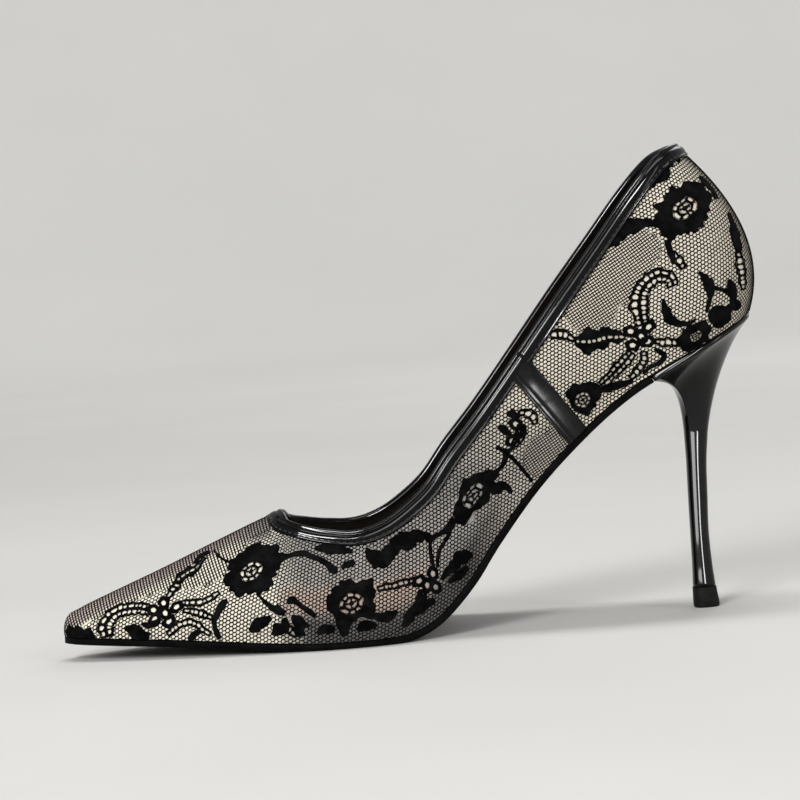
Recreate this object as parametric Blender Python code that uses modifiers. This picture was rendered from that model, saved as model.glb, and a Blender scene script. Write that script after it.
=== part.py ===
"""Stiletto pump, right shoe: lace upper on a thin sole with a slim high heel.

Toe towards -X, heel towards +X, inner (medial) side towards -Y, floor at Z = 0.
Tables are in millimetres, measured back from the toe point, and MM turns them into metres.
"""
import math

import bmesh
import bpy
from mathutils import Vector
from mathutils.bvhtree import BVHTree

MM = 0.001

# Where the table's zero lies against the middle of the finished shoe, in millimetres.
CENTRE_X = 120.8
CENTRE_Y = 3.2

# Thicknesses and clearances, in millimetres.
GAP = 0.3
WALL = 1.2
SOLE_EDGE = 2.4
INSOLE_THICK = 1.8
INSOLE_INSET = 1.9
BINDING_THICK = 0.8
BINDING_OUT_DEPTH = 4.6
BINDING_IN_DEPTH = 6.0
BINDING_SHOULDER = 0.2
BAND_THICK = 0.8

# The strip's round top: its height and half width, as shares of the strip's reach out from the wall.
BINDING_TOP_SHARE = 0.8
BINDING_ROUND_SHARE = 0.7

# One row for each section of the last, from the toe point back to the heel seam.
# steps: mesh columns up to the next row; facing: degrees the wall faces away from straight sideways.
# foot_*: the feather edge, where the wall meets the sole, with a half width for each side.
# low_share, low_out: first handle of the wall's curve, up along it and outwards.
# top_*: the end of the wall's curve, on the ridge or a little above the collar.
# edge_z: height at which the collar cuts the wall, or None in front of the throat.
SECTION_COLUMNS = ("name", "steps", "facing", "foot_x", "foot_z", "medial", "lateral", "low_share", "low_out",
                   "top_x", "top_z", "top_half", "top_share", "top_out", "edge_z")
SECTION_ROWS = (
    ("toe point", 2, -90, -1.0, 8.6, 0.0, 0.0, 0.42, 1.9, 2.6, 16.4, 0.0, 0.08, 2.2, None),
    ("toe round", 2, -58, 0.8, 8.5, 4.2, 4.2, 0.44, 1.9, 5.2, 17.4, 0.0, 0.08, 2.8, None),
    ("toe side", 3, -25, 5.9, 8.2, 8.3, 8.6, 0.45, 1.6, 9.8, 19.4, 0.0, 0.07, 4.0, None),
    ("toe box", 4, -8, 17.0, 7.6, 13.4, 14.4, 0.45, 1.7, 19.8, 23.2, 0.0, 0.06, 6.2, None),
    ("front vamp", 4, 0, 34.0, 6.6, 19.4, 21.8, 0.44, 2.2, 35.5, 29.2, 0.0, 0.05, 9.2, None),
    ("mid vamp", 4, 0, 52.0, 5.2, 24.9, 28.6, 0.42, 3.0, 51.5, 35.7, 0.0, 0.04, 12.0, None),
    ("back vamp", 3, 0, 69.0, 3.7, 29.3, 34.4, 0.40, 4.2, 66.0, 41.5, 0.0, 0.03, 14.0, None),
    ("throat", 4, 0, 80.0, 2.9, 31.4, 37.2, 0.38, 5.0, 75.5, 45.0, 0.0, 0.03, 15.0, 45.0),
    ("throat corner", 2, 0, 85.0, 2.6, 32.2, 38.2, 0.37, 5.4, 77.5, 45.9, 1.0, 0.05, 14.5, 42.0),
    ("throat side", 3, 0, 91.5, 2.4, 32.8, 39.0, 0.36, 5.8, 82.5, 46.5, 6.0, 0.13, 12.5, 40.0),
    ("ball front", 3, 0, 99.0, 2.4, 33.0, 39.5, 0.35, 6.2, 90.5, 44.2, 15.0, 0.24, 8.6, 38.4),
    ("ball", 3, 0, 108.0, 2.4, 32.2, 39.4, 0.34, 6.2, 100.5, 41.9, 22.0, 0.32, 5.8, 37.7),
    ("ball back", 3, 0, 117.0, 3.2, 29.6, 38.2, 0.33, 6.0, 109.5, 44.2, 24.6, 0.33, 4.7, 40.2),
    ("break", 3, 0, 126.5, 7.4, 25.6, 35.8, 0.33, 5.6, 117.5, 49.4, 25.2, 0.33, 4.0, 45.2),
    ("waist front", 3, 0, 137.5, 17.8, 21.4, 32.0, 0.33, 5.2, 124.5, 56.0, 25.0, 0.33, 3.6, 51.6),
    ("waist", 4, 0, 148.0, 31.6, 18.4, 28.8, 0.33, 5.0, 132.0, 66.3, 24.6, 0.33, 3.4, 61.8),
    ("arch", 4, 0, 163.0, 49.2, 17.2, 26.6, 0.33, 5.0, 142.5, 79.3, 24.4, 0.33, 3.4, 74.8),
    ("band", 4, 0, 180.0, 65.2, 18.8, 25.4, 0.33, 5.4, 157.0, 97.2, 24.4, 0.33, 3.8, 92.8),
    ("heel breast", 3, 2, 195.0, 76.8, 21.8, 25.2, 0.33, 6.2, 172.0, 115.4, 24.4, 0.33, 4.6, 111.0),
    ("seat front", 3, 5, 208.5, 84.4, 24.2, 25.2, 0.33, 7.4, 186.6, 132.4, 23.6, 0.33, 5.6, 128.0),
    ("seat", 3, 16, 221.5, 90.6, 23.8, 24.0, 0.33, 9.4, 199.0, 147.6, 21.4, 0.33, 7.2, 143.2),
    ("seat round", 3, 42, 232.0, 95.7, 18.7, 18.7, 0.33, 12.6, 207.6, 158.0, 16.6, 0.33, 10.4, 153.4),
    ("seat back", 3, 68, 238.4, 98.6, 9.8, 9.8, 0.33, 15.4, 212.8, 161.4, 9.2, 0.33, 13.6, 156.8),
    ("heel seam", 1, 90, 240.4, 99.6, 0.0, 0.0, 0.33, 16.2, 214.8, 162.0, 0.0, 0.33, 14.6, 157.2),
)
THROAT_ROW = 7
WALL_STEPS = 9
# Columns that change sign when the row of sections is reflected past the toe point or the heel seam.
ODD_COLUMNS = ("facing", "medial", "lateral", "top_half")

# Where pieces start and end along the table, as row number and share of the way to the next row.
SOLE_FRONT_U = 0.06
SOLE_BACK_U = 18.62
INSOLE_FRONT_U = 0.4
INSOLE_BACK_U = 22.7
HEEL_FRONT_U = 18.65
HEEL_BACK_U = 23.0
BAND_FRONT_U = 16.69
BAND_BACK_U = 17.07

# A mesh column that would lie closer than this to a piece's end is left out.
CLOSE_U = 0.05

# Shares of the half width at which the sole has corners, above and underneath.
SOLE_TOP_SHARES = (-1.0, 0.0, 1.0)
SOLE_BOTTOM_SHARES = (0.97, 0.5, 0.0, -0.5, -0.97)

# The band on the inner side: its first corner, as a share of the wall's height, and its steps up the wall.
BAND_FOOT = 0.01
BAND_STEPS = 10

# Cup of the heel: its curve from the lip under the seat down to the shaft, at the front and at the back.
# lip: thickness under the seat; low_in, high_in: share of the way inwards at the curve's two handles.
# low_drop, high_rise: how far the handles lie below the lip and above the shaft.
CUP_COLUMNS = ("lip", "low_in", "high_in", "low_drop", "high_rise")
CUP_FRONT = (2.4, 0.75, 0.03, 0.0, 14.0)
CUP_BACK = (1.2, 0.38, 0.18, 7.0, 17.0)
CUP_STEPS = 10
CUP_FRONT_SPANS = 4

# Heel: one row for each level of the shaft below the cup, and of the tip.
SHAFT_COLUMNS = ("z", "front_x", "back_x", "half_width")
SHAFT_ROWS = (
    (60.0, 215.4, 223.6, 4.5),
    (50.0, 215.4, 222.4, 4.1),
    (38.0, 215.1, 221.8, 3.9),
    (26.0, 214.9, 221.3, 3.8),
    (15.0, 214.7, 221.6, 3.9),
    (7.3, 214.4, 222.2, 4.2),
)
TIP_ROWS = (
    (7.0, 214.4, 222.2, 4.2),
    (0.8, 214.2, 223.1, 4.6),
    (0.0, 214.5, 222.8, 4.3),
)
SHAFT_SQUARENESS = 2.4
SHAFT_SIDES = 32

MATERIALS = {
    "lace_fabric": ((0.10, 0.09, 0.085, 1.0), 0.8),
    "patent_black": ((0.008, 0.008, 0.009, 1.0), 0.15),
    "sole_black": ((0.012, 0.012, 0.012, 1.0), 0.45),
    "insole_tan": ((0.50, 0.31, 0.16, 1.0), 0.6),
    "heel_gloss_black": ((0.006, 0.006, 0.007, 1.0), 0.08),
    "tip_rubber": ((0.015, 0.015, 0.015, 1.0), 0.7),
}


def clear_scene():
    for thing in list(bpy.data.objects):
        bpy.data.objects.remove(thing, do_unlink=True)


def metres(x, y, z):
    return Vector((x - CENTRE_X, y - CENTRE_Y, z)) * MM


def column(name):
    place = SECTION_COLUMNS.index(name)
    return [row[place] for row in SECTION_ROWS]


def curve_through(values, u, odd=False):
    """Smooth curve through a column of the table, reflected past both ends."""
    last = len(values) - 1
    start = min(max(int(math.floor(u)), 0), last - 1)
    share = u - start

    def value(index):
        if index < 0:
            return 2.0 * values[0] - values[-index] if odd else values[-index]
        if index > last:
            return 2.0 * values[last] - values[2 * last - index] if odd else values[2 * last - index]
        return values[index]

    before, here, there, after = (value(start + step) for step in (-1, 0, 1, 2))
    slope_here = (there - before) / 2.0
    slope_there = (after - here) / 2.0
    square = share * share
    cube = square * share
    return ((2.0 * cube - 3.0 * square + 1.0) * here + (cube - 2.0 * square + share) * slope_here
            + (3.0 * square - 2.0 * cube) * there + (cube - square) * slope_there)


def section(u):
    """All columns of the table at a place u between two rows."""
    values = {}
    for name in SECTION_COLUMNS[2:-1]:
        values[name] = curve_through(column(name), u, name in ODD_COLUMNS)
    return values


def wall_handles(u, side):
    """Four control points of the wall's curve at u; side is -1 for medial, +1 for lateral."""
    cut = section(u)
    foot_half = cut["medial"] if side < 0 else cut["lateral"]
    facing = math.radians(cut["facing"])
    out = Vector((math.sin(facing), side * math.cos(facing), 0.0))
    rise = Vector((cut["top_x"] - cut["foot_x"], 0.0, cut["top_z"] - cut["foot_z"]))
    foot = Vector((cut["foot_x"], side * foot_half, cut["foot_z"]))
    top = Vector((cut["top_x"], side * cut["top_half"], cut["top_z"]))
    low = foot + rise * cut["low_share"] + out * cut["low_out"]
    high = top - rise * cut["top_share"] + out * cut["top_out"]
    return foot, low, high, top


def wall_curve(handles, v):
    foot, low, high, top = handles
    w = 1.0 - v
    return foot * (w ** 3) + low * (3.0 * w * w * v) + high * (3.0 * w * v * v) + top * (v ** 3)


def collar_share(u, side):
    """Share of the wall's curve that is kept below the collar."""
    if u <= THROAT_ROW:
        return 1.0
    edge_z = curve_through(column("edge_z")[THROAT_ROW:], u - THROAT_ROW, odd=True)
    handles = wall_handles(u, side)
    low, high = 0.3, 1.0
    for _ in range(40):
        middle = (low + high) / 2.0
        if wall_curve(handles, middle).z < edge_z:
            low = middle
        else:
            high = middle
    return high


def wall_point(u, side, t):
    """Point on the upper's outside: t is 0 at the sole and 1 at the collar or ridge."""
    return wall_curve(wall_handles(u, side), t * collar_share(u, side))


def wall_normal(u, side, t):
    """Unit normal of the upper's outside."""
    step = 0.01
    along = wall_point(u + step, side, t) - wall_point(u - step, side, t)
    up = wall_point(u, side, t + step) - wall_point(u, side, t - step)
    return (along.cross(up) * -side).normalized()


def mesh_places():
    """Places along the table where the mesh has columns, closer where the collar leaves the throat."""
    places = []
    for index, row in enumerate(SECTION_ROWS[:-1]):
        steps = row[SECTION_COLUMNS.index("steps")]
        power = 2 if index == THROAT_ROW else 1
        places += [index + (step / steps) ** power for step in range(steps)]
    return places + [float(len(SECTION_ROWS) - 1)]


def places_between(front, back):
    """A piece's two ends and the mesh columns between them."""
    return [front] + [u for u in mesh_places() if front + CLOSE_U < u < back - CLOSE_U] + [back]


def make_material(name):
    colour, roughness = MATERIALS[name]
    material = bpy.data.materials.new(name)
    material.use_nodes = True
    shader = material.node_tree.nodes["Principled BSDF"]
    shader.inputs["Base Color"].default_value = colour
    shader.inputs["Roughness"].default_value = roughness
    return material


def add_object(name, bm, material, collection, parent):
    mesh = bpy.data.meshes.new(name)
    bm.to_mesh(mesh)
    bm.free()
    thing = bpy.data.objects.new(name, mesh)
    thing.data.materials.append(make_material(material))
    thing.parent = parent
    collection.objects.link(thing)
    return thing


def upper_surface():
    """Open surface of the upper's outside, with the two sides joined on the ridge, toe and heel seam."""
    places = mesh_places()
    last = len(places) - 1
    bm = bmesh.new()
    corners = {}

    def corner(side, i, j):
        on_ridge = j == WALL_STEPS and places[i] <= THROAT_ROW
        key = (0 if on_ridge or i in (0, last) else side, i, j)
        if key not in corners:
            corners[key] = bm.verts.new(metres(*wall_point(places[i], side, j / WALL_STEPS)))
        return corners[key]

    for side in (-1, 1):
        for i in range(last):
            for j in range(WALL_STEPS):
                ring = [corner(side, i, j), corner(side, i + 1, j),
                        corner(side, i + 1, j + 1), corner(side, i, j + 1)]
                bm.faces.new(ring if side < 0 else ring[::-1])
    bmesh.ops.recalc_face_normals(bm, faces=bm.faces)
    return bm


def build_upper(collection, parent):
    upper = add_object("upper", upper_surface(), "lace_fabric", collection, parent)
    shell = upper.modifiers.new("wall", "SOLIDIFY")
    shell.thickness = WALL * MM
    shell.offset = -1.0
    shell.use_even_offset = True
    return upper


def sole_line(u):
    """Feather edge in the side view, and its unit normal pointing up."""
    step = 0.02
    here = section(u)
    ahead = section(u + step)
    behind = section(u - step)
    run = ahead["foot_x"] - behind["foot_x"]
    climb = ahead["foot_z"] - behind["foot_z"]
    length = math.hypot(run, climb)
    return here, Vector((-climb / length, 0.0, run / length))


def facing_out(bm):
    bmesh.ops.recalc_face_normals(bm, faces=bm.faces)
    if bm.calc_volume(signed=True) < 0.0:
        bmesh.ops.reverse_faces(bm, faces=bm.faces)
    return bm


def loft(rings, caps=True):
    """Closed mesh through rings of equal length."""
    bm = bmesh.new()
    rows = [[bm.verts.new(metres(*point)) for point in ring] for ring in rings]
    count = len(rows[0])
    for low, high in zip(rows, rows[1:]):
        for i in range(count):
            bm.faces.new((low[i], low[(i + 1) % count], high[(i + 1) % count], high[i]))
    if caps:
        bm.faces.new(rows[0][::-1])
        bm.faces.new(rows[-1])
    return facing_out(bm)


def build_outsole(collection, parent):
    """Thin sole: flat across, its edge flush with the upper, trimmed flat where it stands on the floor."""
    rings = []
    for u in places_between(SOLE_FRONT_U, SOLE_BACK_U):
        cut, normal = sole_line(u)
        top = Vector((cut["foot_x"], 0.0, cut["foot_z"])) - normal * GAP
        bottom = top - normal * SOLE_EDGE
        bottom.z = max(bottom.z, 0.0)
        halves = (-cut["medial"], cut["lateral"])
        ring = []
        for level, shares in ((top, SOLE_TOP_SHARES), (bottom, SOLE_BOTTOM_SHARES)):
            for share in shares:
                half = halves[0] if share < 0.0 else halves[1]
                ring.append((level.x, abs(share) * half, level.z))
        rings.append(ring)
    return add_object("outsole", loft(rings), "sole_black", collection, parent)


def build_insole(collection, parent):
    """Insole board and sock, inside the wall and just above the sole."""
    rings = []
    for u in places_between(INSOLE_FRONT_U, INSOLE_BACK_U):
        cut, normal = sole_line(u)
        facing = math.radians(cut["facing"])
        shift = -INSOLE_INSET * math.sin(facing)
        inset = INSOLE_INSET * math.cos(facing)
        low = Vector((cut["foot_x"] + shift, 0.0, cut["foot_z"] - shift * normal.x / normal.z))
        high = low + normal * INSOLE_THICK
        medial = inset - cut["medial"]
        lateral = cut["lateral"] - inset
        rings.append([(low.x, medial, low.z), (low.x, 0.0, low.z), (low.x, lateral, low.z),
                      (high.x, lateral, high.z), (high.x, 0.0, high.z), (high.x, medial, high.z)])
    return add_object("insole", loft(rings), "insole_tan", collection, parent)


def shaft_ring(row, angles):
    level = dict(zip(SHAFT_COLUMNS, row))
    middle = (level["front_x"] + level["back_x"]) / 2.0
    reach = (level["back_x"] - level["front_x"]) / 2.0
    power = 2.0 / SHAFT_SQUARENESS
    ring = []
    for angle in angles:
        along = math.copysign(abs(math.cos(angle)) ** power, math.cos(angle))
        across = math.copysign(abs(math.sin(angle)) ** power, math.sin(angle))
        ring.append(Vector((middle + reach * along, level["half_width"] * across, level["z"])))
    return ring


def seat_outline():
    """Both edges of the heel seat from the breast back, and the sole's normal at the breast."""
    medial = []
    lateral = []
    for u in places_between(HEEL_FRONT_U, HEEL_BACK_U):
        cut, normal = sole_line(u)
        level = Vector((cut["foot_x"], 0.0, cut["foot_z"])) - normal * GAP
        medial.append(Vector((level.x, -cut["medial"], level.z)))
        lateral.append(Vector((level.x, cut["lateral"], level.z)))
    _, breast_normal = sole_line(HEEL_FRONT_U)
    return medial, lateral, breast_normal


def cup_curve(edge, end, backness, breast_normal):
    """Four control points of the cup's curve from the seat's edge to the shaft."""
    cup = {}
    for name, front, back in zip(CUP_COLUMNS, CUP_FRONT, CUP_BACK):
        cup[name] = front + (back - front) * backness
    upright = Vector((0.0, 0.0, 1.0))
    lip = edge - breast_normal.lerp(upright, backness) * cup["lip"]
    inward = Vector((end.x - lip.x, end.y - lip.y, 0.0))
    low = lip + inward * cup["low_in"] - upright * cup["low_drop"]
    high = end - inward * cup["high_in"] + upright * cup["high_rise"]
    return lip, low, high, end


def build_heel(collection, parent):
    """Cup that carries the seat, drawn in to a slim shaft."""
    medial, lateral, breast_normal = seat_outline()
    across = [lateral[0].lerp(medial[0], step / CUP_FRONT_SPANS) for step in range(1, CUP_FRONT_SPANS)]
    seat = medial + lateral[-2::-1] + across
    middle_x = (SHAFT_ROWS[0][1] + SHAFT_ROWS[0][2]) / 2.0
    angles = [math.atan2(point.y, point.x - middle_x) for point in seat]
    neck = shaft_ring(SHAFT_ROWS[0], angles)
    rings = [seat]
    for step in range(CUP_STEPS):
        t = step / CUP_STEPS
        ring = []
        for edge, end, angle in zip(seat, neck, angles):
            backness = (1.0 + math.cos(angle)) / 2.0
            ring.append(wall_curve(cup_curve(edge, end, backness, breast_normal), t))
        rings.append(ring)
    rings += [shaft_ring(row, angles) for row in SHAFT_ROWS]
    bm = loft(rings, caps=False)
    bm.verts.ensure_lookup_table()
    count = len(seat)
    bm.faces.new([bm.verts[len(rings) * count - 1 - i] for i in range(count)])
    half = len(medial)
    for i in range(half - 1):
        left = [bm.verts[i], bm.verts[i + 1]]
        right = [bm.verts[2 * half - 3 - i], bm.verts[2 * half - 2 - i]]
        if i == 0:
            right += [bm.verts[j] for j in range(2 * half - 1, count)]
        ring = left + right
        bm.faces.new([vert for k, vert in enumerate(ring) if vert not in ring[:k]])
    return add_object("heel", facing_out(bm), "heel_gloss_black", collection, parent)


def build_heel_tip(collection, parent):
    angles = [2.0 * math.pi * i / SHAFT_SIDES for i in range(SHAFT_SIDES)]
    rings = [shaft_ring(row, angles) for row in TIP_ROWS]
    return add_object("heel_tip", loft(rings), "tip_rubber", collection, parent)


def build_binding(surface, collection, parent):
    """Strip folded over the collar: an outer leg, a round top and an inner leg."""
    tree = BVHTree.FromBMesh(surface)
    places = [u for u in mesh_places() if u >= THROAT_ROW]
    medial = [metres(*wall_point(u, -1, 1.0)) for u in places]
    lateral = [metres(*wall_point(u, 1, 1.0)) for u in places]
    edge = medial + lateral[-2:0:-1]
    count = len(edge)
    outer = GAP + BINDING_THICK
    inside = -(WALL + GAP)
    inner = inside - BINDING_THICK
    middle = -WALL / 2.0
    round_half = (outer - middle) * BINDING_ROUND_SHARE
    top = -BINDING_TOP_SHARE * outer
    # Each corner of the strip's profile: depth below the collar edge, and offset out from the wall's outside.
    profile = ((BINDING_OUT_DEPTH, GAP), (BINDING_OUT_DEPTH, outer), (BINDING_OUT_DEPTH / 2.0, outer),
               (BINDING_SHOULDER, outer), (top, middle + round_half), (top, middle - round_half),
               (BINDING_SHOULDER, inner), (BINDING_IN_DEPTH / 2.0, inner), (BINDING_IN_DEPTH, inner),
               (BINDING_IN_DEPTH, inside), (BINDING_IN_DEPTH / 2.0, inside), (-GAP, inside), (-GAP, GAP),
               (BINDING_OUT_DEPTH / 2.0, GAP))
    rings = []
    for i, point in enumerate(edge):
        along = (edge[(i + 1) % count] - edge[i - 1]).normalized()
        _, normal, _, _ = tree.find_nearest(point)
        down = along.cross(normal).normalized()
        if down.dot(point - tree.find_nearest(point + down * BINDING_OUT_DEPTH * MM)[0]) > 0.0:
            down = -down
        ring = []
        for depth, offset in profile:
            if depth > 0.0:
                place, facing, _, _ = tree.find_nearest(point + down * depth * MM)
                ring.append(place + facing * offset * MM)
            else:
                ring.append(point + down * depth * MM + normal * offset * MM)
        rings.append(ring)
    bm = bmesh.new()
    rows = [[bm.verts.new(corner) for corner in ring] for ring in rings]
    for low, high in zip(rows, rows[1:] + rows[:1]):
        for i in range(len(profile)):
            nxt = (i + 1) % len(profile)
            bm.faces.new((low[i], low[nxt], high[nxt], high[i]))
    return add_object("topline_binding", facing_out(bm), "patent_black", collection, parent)


def build_side_band(collection, parent):
    """Strip on the inner side, from the sole up to the binding."""
    rings = []
    for u in (BAND_FRONT_U, (BAND_FRONT_U + BAND_BACK_U) / 2.0, BAND_BACK_U):
        length = (wall_point(u, -1, 1.0) - wall_point(u, -1, 0.0)).length
        top = 1.0 - (BINDING_OUT_DEPTH + 2.0 * GAP) / length
        ring = []
        heights = [BAND_FOOT + (top - BAND_FOOT) * step / BAND_STEPS for step in range(BAND_STEPS + 1)]
        for offset, order in ((GAP, heights), (GAP + BAND_THICK, heights[::-1])):
            for t in order:
                ring.append(wall_point(u, -1, t) + wall_normal(u, -1, t) * offset)
        rings.append(ring)
    return add_object("side_band", loft(rings), "patent_black", collection, parent)


def main():
    clear_scene()
    collection = bpy.data.collections.new("stiletto_pump")
    bpy.context.scene.collection.children.link(collection)
    assembly = bpy.data.objects.new("assembly", None)
    collection.objects.link(assembly)
    build_upper(collection, assembly)
    build_outsole(collection, assembly)
    build_insole(collection, assembly)
    build_heel(collection, assembly)
    build_heel_tip(collection, assembly)
    surface = upper_surface()
    build_binding(surface, collection, assembly)
    surface.free()
    build_side_band(collection, assembly)


main()
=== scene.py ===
"""Looks of the stiletto pump: black lace over a nude lining, patent trim and a slim glossy heel.

Sizes are in millimetres on the shoe, as in the part's source: x back from the toe point, y towards the outer
side, z up from the floor. The inner (medial) side is -1, the outer (lateral) side +1.
"""
import math

import bpy
import numpy as np
from mathutils import Matrix, Vector
from mathutils.bvhtree import BVHTree


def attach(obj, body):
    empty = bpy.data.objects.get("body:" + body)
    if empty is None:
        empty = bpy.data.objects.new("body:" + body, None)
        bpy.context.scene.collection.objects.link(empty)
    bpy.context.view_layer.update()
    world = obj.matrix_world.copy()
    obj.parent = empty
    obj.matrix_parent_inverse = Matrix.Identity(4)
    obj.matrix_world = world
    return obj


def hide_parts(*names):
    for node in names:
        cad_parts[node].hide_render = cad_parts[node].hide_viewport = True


# One millimetre in metres, and the place in millimetres that lies at the frame's origin.
MM = 0.001
CENTRE = np.array((120.8, 3.2, 0.0))
MEDIAL = -1
LATERAL = 1
SIDES = (MEDIAL, LATERAL)

# The last, one row for each section from the toe point to the heel seam, as in the part's source.
SECTION_COLUMNS = ("facing", "foot_x", "foot_z", "medial", "lateral", "low_share", "low_out",
                   "top_x", "top_z", "top_half", "top_share", "top_out")
SECTION_ROWS = (
    (-90, -1.0, 8.6, 0.0, 0.0, 0.42, 1.9, 2.6, 16.4, 0.0, 0.08, 2.2),
    (-58, 0.8, 8.5, 4.2, 4.2, 0.44, 1.9, 5.2, 17.4, 0.0, 0.08, 2.8),
    (-25, 5.9, 8.2, 8.3, 8.6, 0.45, 1.6, 9.8, 19.4, 0.0, 0.07, 4.0),
    (-8, 17.0, 7.6, 13.4, 14.4, 0.45, 1.7, 19.8, 23.2, 0.0, 0.06, 6.2),
    (0, 34.0, 6.6, 19.4, 21.8, 0.44, 2.2, 35.5, 29.2, 0.0, 0.05, 9.2),
    (0, 52.0, 5.2, 24.9, 28.6, 0.42, 3.0, 51.5, 35.7, 0.0, 0.04, 12.0),
    (0, 69.0, 3.7, 29.3, 34.4, 0.40, 4.2, 66.0, 41.5, 0.0, 0.03, 14.0),
    (0, 80.0, 2.9, 31.4, 37.2, 0.38, 5.0, 75.5, 45.0, 0.0, 0.03, 15.0),
    (0, 85.0, 2.6, 32.2, 38.2, 0.37, 5.4, 77.5, 45.9, 1.0, 0.05, 14.5),
    (0, 91.5, 2.4, 32.8, 39.0, 0.36, 5.8, 82.5, 46.5, 6.0, 0.13, 12.5),
    (0, 99.0, 2.4, 33.0, 39.5, 0.35, 6.2, 90.5, 44.2, 15.0, 0.24, 8.6),
    (0, 108.0, 2.4, 32.2, 39.4, 0.34, 6.2, 100.5, 41.9, 22.0, 0.32, 5.8),
    (0, 117.0, 3.2, 29.6, 38.2, 0.33, 6.0, 109.5, 44.2, 24.6, 0.33, 4.7),
    (0, 126.5, 7.4, 25.6, 35.8, 0.33, 5.6, 117.5, 49.4, 25.2, 0.33, 4.0),
    (0, 137.5, 17.8, 21.4, 32.0, 0.33, 5.2, 124.5, 56.0, 25.0, 0.33, 3.6),
    (0, 148.0, 31.6, 18.4, 28.8, 0.33, 5.0, 132.0, 66.3, 24.6, 0.33, 3.4),
    (0, 163.0, 49.2, 17.2, 26.6, 0.33, 5.0, 142.5, 79.3, 24.4, 0.33, 3.4),
    (0, 180.0, 65.2, 18.8, 25.4, 0.33, 5.4, 157.0, 97.2, 24.4, 0.33, 3.8),
    (2, 195.0, 76.8, 21.8, 25.2, 0.33, 6.2, 172.0, 115.4, 24.4, 0.33, 4.6),
    (5, 208.5, 84.4, 24.2, 25.2, 0.33, 7.4, 186.6, 132.4, 23.6, 0.33, 5.6),
    (16, 221.5, 90.6, 23.8, 24.0, 0.33, 9.4, 199.0, 147.6, 21.4, 0.33, 7.2),
    (42, 232.0, 95.7, 18.7, 18.7, 0.33, 12.6, 207.6, 158.0, 16.6, 0.33, 10.4),
    (68, 238.4, 98.6, 9.8, 9.8, 0.33, 15.4, 212.8, 161.4, 9.2, 0.33, 13.6),
    (90, 240.4, 99.6, 0.0, 0.0, 0.33, 16.2, 214.8, 162.0, 0.0, 0.33, 14.6),
)
ODD_COLUMNS = ("facing", "medial", "lateral", "top_half")
# Height at which the collar cuts the wall, one for each row from the throat back.
THROAT_ROW = 7
LAST_ROW = len(SECTION_ROWS) - 1
COLLAR_Z = (45.0, 42.0, 40.0, 38.4, 37.7, 40.2, 45.2, 51.6, 61.8, 74.8, 92.8, 111.0, 128.0, 143.2, 153.4,
            156.8, 157.2)
# Steps over which slopes of the wall and of the sole are taken, and the search for the collar on the wall.
WALL_STEP = 0.01
SOLE_STEP = 0.02
COLLAR_LEAST = 0.3
COLLAR_HALVINGS = 40

# Camera: where the photo was taken from, and the shoe's middle that it looks at, in metres.
CAMERA_PLACE = (-0.013, -1.1517, 0.1495)
CAMERA_AIM = (-0.001, 0.0, 0.079)
CAMERA_ROLL_DEG = 4.75
CAMERA_LENS = 152.0
CAMERA_SENSOR = 36.0

# Lights, in metres: name, place, what it faces, width, height and power; a card for gloss also has the
# pieces that it lights.
SHOE_MIDDLE = (0.0, 0.0, 0.06)
LIGHTS = (
    ("key", (-0.7, -1.5, 1.1), SHOE_MIDDLE, 0.6, 1.0, 24.0, ()),
    ("fill", (1.4, -1.2, 0.7), SHOE_MIDDLE, 0.25, 1.2, 7.0, ()),
    ("top", (0.0, 0.1, 1.7), SHOE_MIDDLE, 1.2, 0.35, 15.0, ()),
    ("rear", (0.5, 1.5, 1.0), SHOE_MIDDLE, 0.8, 0.6, 5.0, ()),
    ("heel_card", (-0.02, -0.2, 0.15), (0.098, 0.0, 0.15), 0.16, 0.3, 2.4, ("heel_shaft",)),
    ("heel_line", (0.12, -0.2, 0.15), (0.098, 0.0, 0.15), 0.014, 0.3, 0.6, ("heel_shaft",)),
    ("band_card", (0.044, -0.15, 0.004), (0.044, -0.15, 1.0), 0.044, 0.12, 0.6, ("side_strap",)),
    ("trim_back_line", (-1.1, -0.9, 0.7), SHOE_MIDDLE, 0.5, 0.4, 70.0, ("topline_trim",)),
    ("trim_throat_line", (-0.1, -1.0, 1.0), SHOE_MIDDLE, 0.6, 0.3, 60.0, ("topline_trim",)),
)
# Stage, in metres: the flat floor's radius, bend into the backdrop, its top, and corners round it.
FLOOR_REACH = 1.9
BACKDROP_BEND = 0.9
BACKDROP_TOP = 3.2
STAGE_SIDES = 96
BEND_STEPS = 25
FLOOR_HOLE = 0.01
# Far from the shoe the stage evens out the falling light: distances of start and end, and strength there.
FLOOR_GLOW = (0.7, 2.3, 0.25)
GLOW_COLOUR = (1.0, 0.995, 0.98, 1.0)
WORLD_COLOUR = (0.95, 0.97, 1.0, 1.0)
WORLD_STRENGTH = 0.2

# Flat chart of a side: step along the rows, points up a row, extra rows behind the throat and their crowding.
CHART_STEP = 0.25
CHART_COLUMNS = 17
THROAT_ROWS = 6
THROAT_CROWDING = 1.5
# First guess at the toe: the direction in which rows hang, and where that fades into the side view's.
TOE_HANG = (0.25, 0.97)
TOE_HANG_FADE = (-1.0, 2.0)
# Relaxing of the chart: rounds, and the share of a tie's misfit that is taken up in each.
RELAX_ROUNDS = 2500
RELAX_PULL = 0.75

# Grounds of the lace, open, close and on the ridge: pitch along a row, distance between rows, how much every
# other row is shifted, share of a cell that is open along and across, and height of a cell's shoulders.
GROUNDS = (
    (1.45, 1.12, 0.5, (0.745, 0.675), 0.34),
    (1.0, 0.96, 0.0, (0.70, 0.57), 0.5),
    (1.08, 1.30, 0.0, (0.52, 0.80), 0.5),
)
CLOSE_GROUND = 1
RIDGE_GROUND = 2
NET_THREAD_LIFT = 0.1
NET_EDGE_LIFT = -0.03
# How far cells may stand over the chart's edge, in rows, and the unevenness of their openings.
NET_OVERHANG = 0.45
NET_UNEVEN = (0.94, 1.06)
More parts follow.
